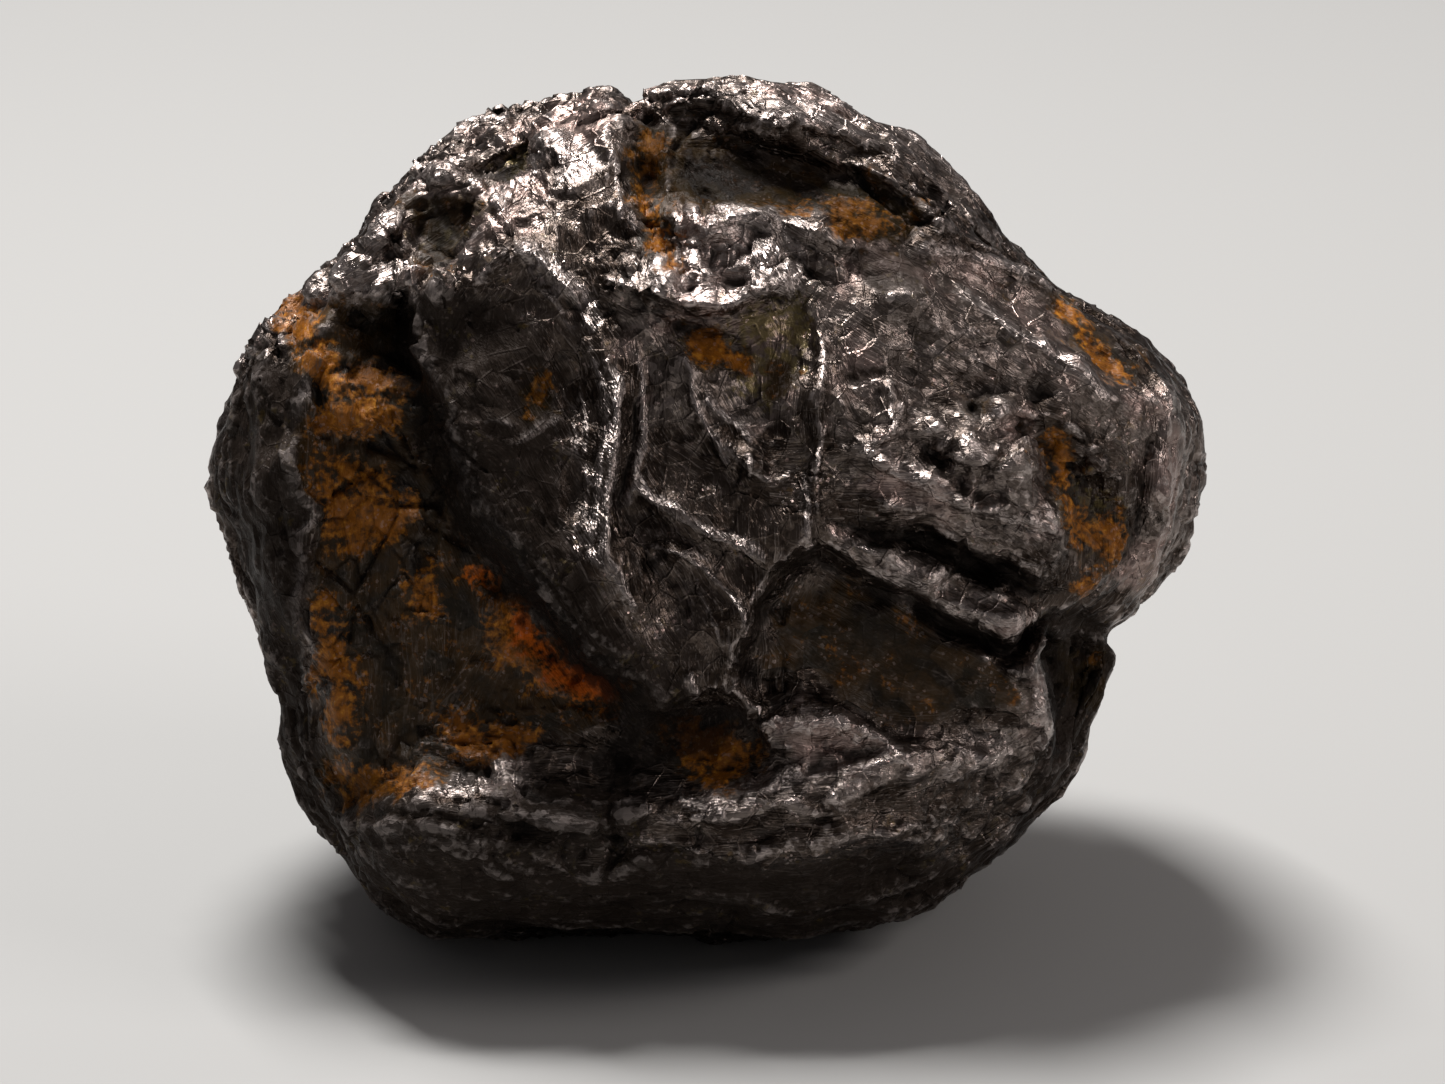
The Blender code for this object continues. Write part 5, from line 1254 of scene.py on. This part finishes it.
def settle(points):
    """The drawing's millimetres (u, v, w) as the frame's metres: leaning back, over the origin's spot."""
    u, v, w = points.T
    sine, cosine = math.sin(FACE_LEAN), math.cos(FACE_LEAN)
    return (np.column_stack([u, v * sine - w * cosine, w * sine + v * cosine]) + SEAT) * MM


def unsettle(points):
    """The frame's metres as the drawing's millimetres."""
    x, y, z = (points / MM - SEAT).T
    sine, cosine = math.sin(FACE_LEAN), math.cos(FACE_LEAN)
    return np.column_stack([x, y * sine + z * cosine, z * sine - y * cosine])


def raised(points, corners, outward):
    """How far each point stands out from the surface smoothed round it. It is negative in hollows."""
    pairs = np.vstack([corners[:, (0, 1)], corners[:, (1, 2)], corners[:, (2, 0)]])
    count = np.bincount(pairs[:, 0], minlength=len(points))[:, None]
    smooth = points
    for _ in range(SMOOTHINGS):
        smooth = np.column_stack([
            np.bincount(pairs[:, 0], smooth[pairs[:, 1], axis], len(points)) for axis in range(3)
        ]) / count
    return ((points - smooth) * outward).sum(axis=1)


def stained(points, drawn, stains):
    """How deep inside the nearest of the stains each point lies, from 0 well outside to 1 well inside."""
    share = np.zeros(len(points))
    for stain in stains:
        share = np.maximum(share, inside_corners(drawn[:, :2], stain.corners, STAIN_EDGE))
    return share * ease(*STAIN_DEPTHS, points[:, 2])


def sculpt(sphere):
    """The lump's points in (u, v, w), and for each point what its look depends on."""
    direction = read_points(sphere)
    corners = read_corners(sphere)
    direction /= np.linalg.norm(direction, axis=1)[:, None]
    plain = plain_lump(direction)
    drawn = plain + wandering(plain, CROOKEDNESS)
    outward = outward_of(plain, corners)
    facing = direction[:, 2]
    form = plain + carve(plain, drawn, facing, outward, (PLATES, FOLDS, LUMPS), side=1)
    form += carve(plain, drawn, -facing, outward, (BACK_PLATES, BACK_FOLDS, BACK_LUMPS), side=-1)
    form += outward * (leaf_ledges(plain, outward) + dents(plain, DENTS))[:, None]
    weights = grain_weights(grain_angle(plain, outward))
    near = ease(*FINE_FADE, facing)
    places = drawn[:, :2]
    creases = fine_creases(places) * near
    relief = outward_of(form, corners) * skin_relief(form, weights)[:, None]
    form += pushed_way(outward, 1) * creases[:, None] + relief
    looks = {f"grain_{way}": weights[:, way] for way in range(GRAIN_WAYS)}
    # The crests carry painted highlights, along the fine folds and on the drawn bright flakes.
    looks["crest"] = np.maximum(crest_lines(places) * near, HIGHLIGHT_SHARE * stained(form, drawn, PAINTED_HIGHLIGHTS))
    looks["raised"] = raised(form, corners, outward_of(form, corners))
    for name, stains in STAINS.items():
        looks[name] = stained(form, drawn, stains)
    return form, looks


def thin_out(obj, triangles, near):
    """Keeps the triangles where the surface bends most, and more of them on the near face."""
    shares = np.round((1 - near / 2) * THINNING_STEPS).astype(int)
    group = obj.vertex_groups.new(name="thinned")
    for step in range(THINNING_STEPS + 1):
        group.add(np.flatnonzero(shares == step).tolist(), step / THINNING_STEPS, "REPLACE")
    thinning = obj.modifiers.new("fewer triangles", "DECIMATE")
    thinning.ratio = triangles / len(obj.data.polygons)
    thinning.vertex_group = group.name
    thinning.vertex_group_factor = NEARNESS
    graph = bpy.context.evaluated_depsgraph_get()
    thinned = bpy.data.meshes.new_from_object(obj.evaluated_get(graph))
    obj.modifiers.clear()
    obj.data = thinned


def rub_flat(mesh):
    """Cuts the underside off level with the ground, as the solid's is."""
    bm = bmesh.new()
    bm.from_mesh(mesh)
    everything = bm.verts[:] + bm.edges[:] + bm.faces[:]
    cut = bmesh.ops.bisect_plane(
        bm, geom=everything, plane_co=(0, 0, 0), plane_no=(0, 0, -1), clear_outer=True, dist=0
    )
    rim = [e for e in cut["geom_cut"] if isinstance(e, bmesh.types.BMEdge)]
    bmesh.ops.holes_fill(bm, edges=rim)
    bmesh.ops.triangulate(bm, faces=bm.faces[:])
    bm.to_mesh(mesh)
    bm.free()


def keep_looks(mesh, form, looks):
    """Gives each vertex the looks of the sculpted point nearest to it, for the material to read."""
    tree = KDTree(len(form))
    for index, point in enumerate(form.tolist()):
        tree.insert(point, index)
    tree.balance()
    places = unsettle(read_points(mesh))
    nearest = np.array([tree.find(place)[1] for place in places.tolist()])
    drawing = mesh.attributes.new("uvw", "FLOAT_VECTOR", "POINT")
    drawing.data.foreach_set("vector", places.astype(np.float32).ravel())
    for name, values in looks.items():
        layer = mesh.attributes.new(name, "FLOAT", "POINT")
        layer.data.foreach_set("value", values[nearest].astype(np.float32))


def make_lump():
    """The finished lump, in place of the CAD solid."""
    bpy.ops.mesh.primitive_ico_sphere_add(subdivisions=SUBDIVISIONS, radius=1)
    lump = bpy.context.object
    form, looks = sculpt(lump.data)
    write_points(lump.data, settle(form))
    thin_out(lump, TRIANGLES, ease(*DETAIL_DEPTHS, form[:, 2]))
    rub_flat(lump.data)
    keep_looks(lump.data, form, looks)
    lump.name = lump.data.name = "molybdenite_lump"
    lump.data.materials.append(molybdenite_material())
    lump.data.shade_smooth()
    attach(lump, "root")
    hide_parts("molybdenite")


class Recipe:
    """A material under construction. Each method adds a node and gives back what comes out of it."""

    def __init__(self, name):
        self.material = bpy.data.materials.new(name)
        self.material.use_nodes = True
        self.nodes = self.material.node_tree.nodes
        self.links = self.material.node_tree.links
        self.shader = self.nodes["Principled BSDF"]

    def feed(self, socket, value):
        """Links the socket to what a node gives, or sets it to a plain number, vector or colour."""
        if isinstance(value, bpy.types.NodeSocket):
            self.links.new(value, socket)
        else:
            socket.default_value = value

    def add(self, kind, inputs, output=0, **settings):
        node = self.nodes.new(kind)
        for name, value in settings.items():
            setattr(node, name, value)
        for name, value in inputs.items():
            self.feed(node.inputs[name], value)
        return node.outputs[output]

    def attribute(self, name, output="Fac"):
        return self.add("ShaderNodeAttribute", {}, output, attribute_name=name)

    def along_grain(self, place, way, size):
        """The place in units of size, turned into one grain way."""
        turn = (0, 0, math.pi * way / GRAIN_WAYS)
        return self.add(
            "ShaderNodeMapping", {"Vector": place, "Rotation": turn, "Scale": size}, vector_type="TEXTURE"
        )

    def cloud(self, place, size, detail=3.0, roughness=0.55):
        inputs = {"Vector": place, "Scale": 1 / size, "Detail": detail, "Roughness": roughness}
        return self.add("ShaderNodeTexNoise", inputs, "Fac")

    def cells(self, place, size, output="Color", **settings):
        return self.add("ShaderNodeTexVoronoi", {"Vector": place, "Scale": 1 / size}, output, **settings)

    def channel(self, colour, name):
        return self.add("ShaderNodeSeparateColor", {"Color": colour}, name)

    def remap(self, value, span):
        inputs = {"Value": value, "From Min": span.low, "From Max": span.high}
        inputs.update({"To Min": span.start, "To Max": span.end})
        return self.add("ShaderNodeMapRange", inputs, interpolation_type="SMOOTHSTEP")

    def without(self, share, least=0.0):
        """1 where the share is 0, and down to the least where it is 1."""
        return self.remap(share, Span(0, 1, 1.0, least))

    def chain(self, operation, values):
        result = values[0]
        for value in values[1:]:
            result = self.add("ShaderNodeMath", {0: result, 1: value}, operation=operation)
        return result

    def plus(self, *values):
        return self.chain("ADD", values)

    def times(self, *values):
        return self.chain("MULTIPLY", values)

    def highest(self, *values):
        return self.chain("MAXIMUM", values)

    def vector(self, a, b, operation="ADD"):
        return self.add("ShaderNodeVectorMath", {0: a, 1: b}, operation=operation)

    def push(self, colour, size):
        """A random colour as a step either way along each axis, up to half the size."""
        return self.vector(self.vector(colour, MIDDLE_GREY, "SUBTRACT"), size, "MULTIPLY")

    def blend(self, a, b, share):
        """From colour a to colour b as share goes from 0 to 1."""
        node = self.nodes.new("ShaderNodeMix")
        node.data_type = "RGBA"
        self.feed(node.inputs["Factor"], share)
        for socket, colour in zip(COLOUR_SOCKETS, (a, b)):
            self.feed(node.inputs[socket], colour)
        return node.outputs[COLOUR_RESULT]


class Mineral(Recipe):
    """The mineral's own material: its textures, where each finish shows, its colours and its surface."""

    def make_textures(self):
        self.place = self.attribute("uvw", "Vector")
        inputs = {"Vector": self.place, "Scale": 1 / WARP_SIZE, "Detail": 1.0}
        warp = self.add("ShaderNodeTexNoise", inputs, "Color")
        self.bent = self.vector(self.place, self.push(warp, (WARP,) * 3))
        self.plates = self.cells(self.bent, PLATE_SIZE)
        self.flakes = self.cells(self.bent, FLAKE_SIZE)
        self.sparks = self.cells(self.place, SPARK_SIZE)
        to_edge = self.cells(self.bent, PLATE_SIZE, "Distance", feature="DISTANCE_TO_EDGE")
        self.creases = self.remap(to_edge, CREASE_LINE)
        self.broad = self.cloud(self.place, BROAD_CLOUD)
        self.middle = self.cloud(self.place, MIDDLE_CLOUD, detail=4.0)
        self.fine = self.cloud(self.place, FINE_CLOUD)
        self.plate_tone = self.channel(self.plates, "Red")
        self.flake_tone = self.channel(self.flakes, "Red")
        self.glitter = self.remap(self.plus(self.flake_tone, self.plus(self.fine, -HALF)), GLITTER_SHOWS)

    def make_fibres(self):
        """Short scratches along the grain, and longer hair-thin lines that wind between them."""
        streaks, hairs = [], []
        for way in range(GRAIN_WAYS):
            here = self.attribute(f"grain_{way}")
            fibres = self.along_grain(self.bent, way, SCRATCH_SIZE)
            streak = self.cloud(fibres, 1, detail=2.0, roughness=0.6)
            wave = self.cloud(self.along_grain(self.bent, way, HAIR_SIZE), 1, detail=1.0)
            crossing = self.add("ShaderNodeMath", {0: self.plus(wave, -HALF)}, operation="ABSOLUTE")
            streaks.append(self.times(streak, here))
            hairs.append(self.times(self.remap(crossing, HAIR_LINE), here))
        self.scratches = self.plus(*streaks)
        self.hairs = self.plus(*hairs)
        bright_hairs = self.times(self.hairs, HAIR_LIGHT)
        self.lines = self.highest(bright_hairs, self.times(self.creases, CREASE_LIGHT))

    def share(self, name, fray, span):
        """How much of a finish shows: its drawn attribute with the fray added, through its span."""
        return self.remap(self.plus(self.attribute(name), fray), span)

    def make_shares(self):
        """How much of each finish shows at each place."""
        patchy = self.remap(self.middle, RAGGED)
        finer = self.remap(self.fine, FINELY_RAGGED)
        ragged = self.plus(patchy, finer)
        self.rust = self.share("rust", patchy, RUST_SHOWS)
        self.orange = self.share("orange", ragged, ORANGE_SHOWS)
        self.red = self.share("red", self.times(ragged, RED_RAGGED), RED_SHOWS)
        self.olive = self.share("olive", ragged, OLIVE_SHOWS)
        self.fresh_and_lit = self.share("fresh_and_lit", patchy, FRESH_AND_LIT_SHOWS)
        # Painted shade, as dull dark metal.
        self.dim_shade = self.share("dim_shade", self.times(patchy, DIM_SHADE_RAGGED), DIM_SHADE_SHOWS)
        # Paler on raised places: partly wear, partly a painted highlight.
        self.worn_and_lit = self.share("raised", self.times(finer, WORN_AND_LIT_RAGGED), WORN_AND_LIT_SHOWS)
        # Painted shade: near black where drawn, and in the hollows.
        hollow = self.remap(self.attribute("raised"), HOLLOW_SHADE)
        self.deep_shade = self.highest(self.share("deep_shade", patchy, DEEP_SHADE_SHOWS), hollow)
        # Painted highlights along the crests.
        crest = self.share("crest", self.times(ragged, CREST_RAGGED), CREST_SHOWS)
        crest = self.times(crest, self.remap(self.scratches, CREST_SCRATCHED))
        self.crest = self.times(crest, self.without(self.highest(self.rust, self.deep_shade), CREST_COVERED))

    def metal_colour(self):
        """Lead grey: paler on clean metal and painted highlights, on pale lines and on worn edges that are
        partly painted highlight, with a painted pink sheen, and darker with painted shade.
        """
        spots = self.plus(self.plate_tone, self.times(self.flake_tone, TONE_FLAKES))
        tone = self.plus(self.middle, TONE_SHIFT, self.times(spots, TONE_PLATES))
        metal = self.blend(DARK_METAL, GREY_METAL, self.remap(tone, TONE))
        # Paler where light falls: partly clean metal, partly a painted highlight.
        fresh_and_lit = self.times(self.fresh_and_lit, self.remap(self.glitter, FRESH_AND_LIT_GLITTER))
        metal = self.blend(metal, PALE_AND_LIT_METAL, fresh_and_lit)
        # Pale scratches and lines along the grain, partly painted highlights on the fibres.
        metal = self.blend(metal, PALE_AND_LIT_METAL, self.remap(self.scratches, PALE_SCRATCHES))
        metal = self.blend(metal, PALE_AND_LIT_METAL, self.times(self.lines, self.remap(self.middle, PALE_LINES)))
        # A painted pink sheen.
        metal = self.blend(metal, PINK_SHEEN, self.times(self.fresh_and_lit, self.remap(self.broad, PINK_SHEEN_CLOUDS)))
        # Painted shade as dull dark metal.
        metal = self.blend(metal, DIM_SHADE_METAL, self.times(self.dim_shade, DIM_SHADE_COVERS))
        # A painted highlight on raised places and crests, weaker in the painted shade.
        shine = self.highest(
            self.times(self.worn_and_lit, self.remap(self.glitter, WORN_AND_LIT_GLITTER)),
            self.times(self.crest, self.remap(self.glitter, CREST_GLITTER)),
        )
        metal = self.blend(metal, WORN_AND_LIT_METAL, self.times(shine, self.remap(self.dim_shade, SHINE_IN_DIM_SHADE)))
        return self.blend(metal, OLIVE_BROWN, self.olive)

    def rust_colour(self):
        """Dark to mid brown with spots of orange, ochre and red, pale metal colour along its lines and
        crests as painted glints and highlights, and painted shade.
        """
        tone = self.plus(self.middle, self.times(self.plate_tone, BROWN_PLATES))
        brown = self.blend(RUST_DARK, RUST_BROWN, self.remap(tone, BROWN))
        brown = self.blend(brown, RUST_ORANGE, self.orange)
        brown = self.blend(brown, RUST_OCHRE, self.times(self.orange, self.remap(self.fine, OCHRE_SPOTS)))
        brown = self.blend(brown, RUST_RED, self.times(self.red, RED_COVERS))
        # Painted shade on the rust.
        brown = self.blend(brown, RUST_DARK, self.times(self.dim_shade, DIM_SHADE_ON_RUST))
        # Painted highlights along raised lines and crests.
        brown = self.blend(brown, GREY_METAL, self.times(self.worn_and_lit, self.remap(self.lines, WORN_AND_LIT_RUST)))
        brown = self.blend(brown, PALE_AND_LIT_METAL, self.crest)
        # Pale streaks and hairs along the grain, painted as glints.
        streaks = self.times(
            self.remap(self.scratches, RUST_SCRATCHES),
            self.remap(self.middle, SCRATCHED_CLOUDS),
            self.without(self.highest(self.dim_shade, self.orange), SCRATCH_COVERED),
        )
        brown = self.blend(brown, PALE_AND_LIT_METAL, streaks)
        winding = self.times(self.hairs, self.remap(self.middle, RUST_HAIRS))
        brown = self.blend(brown, PALE_AND_LIT_METAL, self.times(winding, self.without(self.orange, HAIR_COVERED)))
        # Painted shade in the plates' creases.
        creases = self.times(self.creases, self.remap(self.broad, RUST_CREASES))
        return self.blend(brown, SHADE_BLACK, creases)

    def choose_sparks(self):
        """The few smallest cells that are sparks, fewer under rust, painted shade and some clouds."""
        covered = self.highest(
            self.deep_shade,
            self.times(self.dim_shade, DIM_SHADE_HIDES),
            self.times(self.rust, RUST_HIDES),
            self.remap(self.middle, CLOUD_HIDES),
        )
        chosen = self.remap(self.channel(self.sparks, "Blue"), SPARK_CHOICE)
        self.chosen = self.times(chosen, self.without(covered))

    def make_colour(self):
        colour = self.blend(self.metal_colour(), self.rust_colour(), self.rust)
        # Painted shade, near black, over everything.
        colour = self.blend(colour, SHADE_BLACK, self.deep_shade)
        # Sparks take a painted glint colour.
        glint = self.blend(WORN_AND_LIT_METAL, PINK_SHEEN, self.channel(self.sparks, "Red"))
        return self.blend(colour, glint, self.times(self.chosen, SPARK_COLOUR))

    def make_gloss(self):
        """How metallic, glossy and rough the surface is: bright metal, dull rust and film, and matt where
        shade is painted.
        """
        dull = self.highest(
            self.rust,
            self.times(self.olive, OLIVE_DULLS),
            self.times(self.dim_shade, DIM_SHADE_DULLS),
            self.deep_shade,
        )
        dull = self.times(dull, self.without(self.chosen))
        matt = self.without(self.highest(self.deep_shade, self.dim_shade), MATT)
        polish = self.remap(self.plus(self.middle, self.times(self.flake_tone, FLAKE_POLISH)), POLISH)
        self.feed(self.shader.inputs["Metallic"], self.without(dull))
        self.feed(self.shader.inputs["Specular IOR Level"], self.times(self.remap(dull, GLOSS), matt))
        self.feed(self.shader.inputs["Roughness"], self.plus(polish, self.remap(dull, DULL_ROUGHNESS)))

    def make_facing(self):
        """The normal, tilted plate by plate, flake by flake and spark by spark, and up on frayed crests."""
        flake_tilt = self.remap(self.crest, FLAKES_TILT)
        frayed = self.times(self.crest, self.remap(self.glitter, FRAYED_GLITTER), FRAY_TILT)
        tilted = self.add("ShaderNodeNewGeometry", {}, "Normal")
        for step in (
            self.push(self.plates, (PLATE_TILT,) * 3),
            self.push(self.flakes, flake_tilt),
            self.push(self.sparks, self.times(self.chosen, SPARK_TILT)),
            self.vector(FRAY_WAY, frayed, "MULTIPLY"),
        ):
            tilted = self.vector(tilted, step)
        return self.add("ShaderNodeVectorMath", {0: tilted}, operation="NORMALIZE")

    def make_bump(self):
        """Scratches, fine grit and the plates' creases, on the tilted normal."""
        ribs = self.times(self.creases, self.remap(self.rust, RIBS))
        relief = self.plus(self.scratches, self.times(self.fine, FINE_BUMP), ribs)
        inputs = {"Height": relief, "Distance": SCRATCH_DEPTH * MM, "Normal": self.make_facing()}
        return self.add("ShaderNodeBump", inputs)


def molybdenite_material():
    """Dark, warm lead-grey metal, fibrous along its grain and glittering, with rust in its hollows."""
    mineral = Mineral("molybdenite")
    mineral.make_textures()
    mineral.make_fibres()
    mineral.make_shares()
    mineral.choose_sparks()
    mineral.feed(mineral.shader.inputs["Base Color"], mineral.make_colour())
    mineral.make_gloss()
    mineral.feed(mineral.shader.inputs["Normal"], mineral.make_bump())
    return mineral.material


def plain_material(name, colour, roughness):
    material = bpy.data.materials.new(name)
    material.use_nodes = True
    shader = material.node_tree.nodes["Principled BSDF"]
    shader.inputs["Base Color"].default_value = colour
    shader.inputs["Roughness"].default_value = roughness
    return material


def make_floor():
    mesh = bpy.data.meshes.new("floor")
    far = FLOOR_SIZE / 2
    corners = [(x, y, -FLOOR_DROP) for x, y in ((-far, -far), (far, -far), (far, far), (-far, far))]
    mesh.from_pydata(corners, [], [(0, 1, 2, 3)])
    floor = bpy.data.objects.new("floor", mesh)
    bpy.context.scene.collection.objects.link(floor)
    mesh.materials.append(plain_material("pale floor", FLOOR_COLOUR, FLOOR_ROUGHNESS))


def make_light(name, place, size, power, colour):
    """A square lamp at the place, turned to the lump's middle."""
    light = bpy.data.lights.new(name, "AREA")
    light.size = size
    light.energy = power
    light.color = colour
    holder = bpy.data.objects.new(name, light)
    bpy.context.scene.collection.objects.link(holder)
    holder.location = place
    holder.rotation_euler = (Vector(LIT_SPOT) - Vector(place)).to_track_quat("-Z", "Y").to_euler()


def make_world():
    world = bpy.data.worlds.new("studio")
    world.use_nodes = True
    background = world.node_tree.nodes["Background"]
    background.inputs["Color"].default_value = SKY_COLOUR
    background.inputs["Strength"].default_value = SKY_STRENGTH
    bpy.context.scene.world = world


def make_camera():
    """Square on to the leaning face, as the photograph was taken."""
    camera = bpy.data.cameras.new("camera")
    camera.sensor_width = SENSOR_WIDTH
    camera.lens = camera.sensor_width * CAMERA_DISTANCE / FRAME_WIDTH
    camera.clip_start = NEAREST_SEEN
    holder = bpy.data.objects.new("camera", camera)
    bpy.context.scene.collection.objects.link(holder)
    u, v = CAMERA_AIM
    away = CAMERA_DISTANCE
    drawn = ((u, v, away), (u + 1, v, away), (u, v + 1, away), (u, v, away + 1))
    spot, right, up, out = (Vector(settle(np.array([p], float))[0]) for p in drawn)
    turn = Matrix([(p - spot).normalized() for p in (right, up, out)]).transposed()
    holder.matrix_world = Matrix.Translation(spot) @ turn.to_4x4()
    bpy.context.scene.camera = holder


make_lump()
make_floor()
for light in LIGHTS:
    make_light(*light)
make_world()
make_camera()
bpy.context.scene.view_settings.view_transform = "Standard"
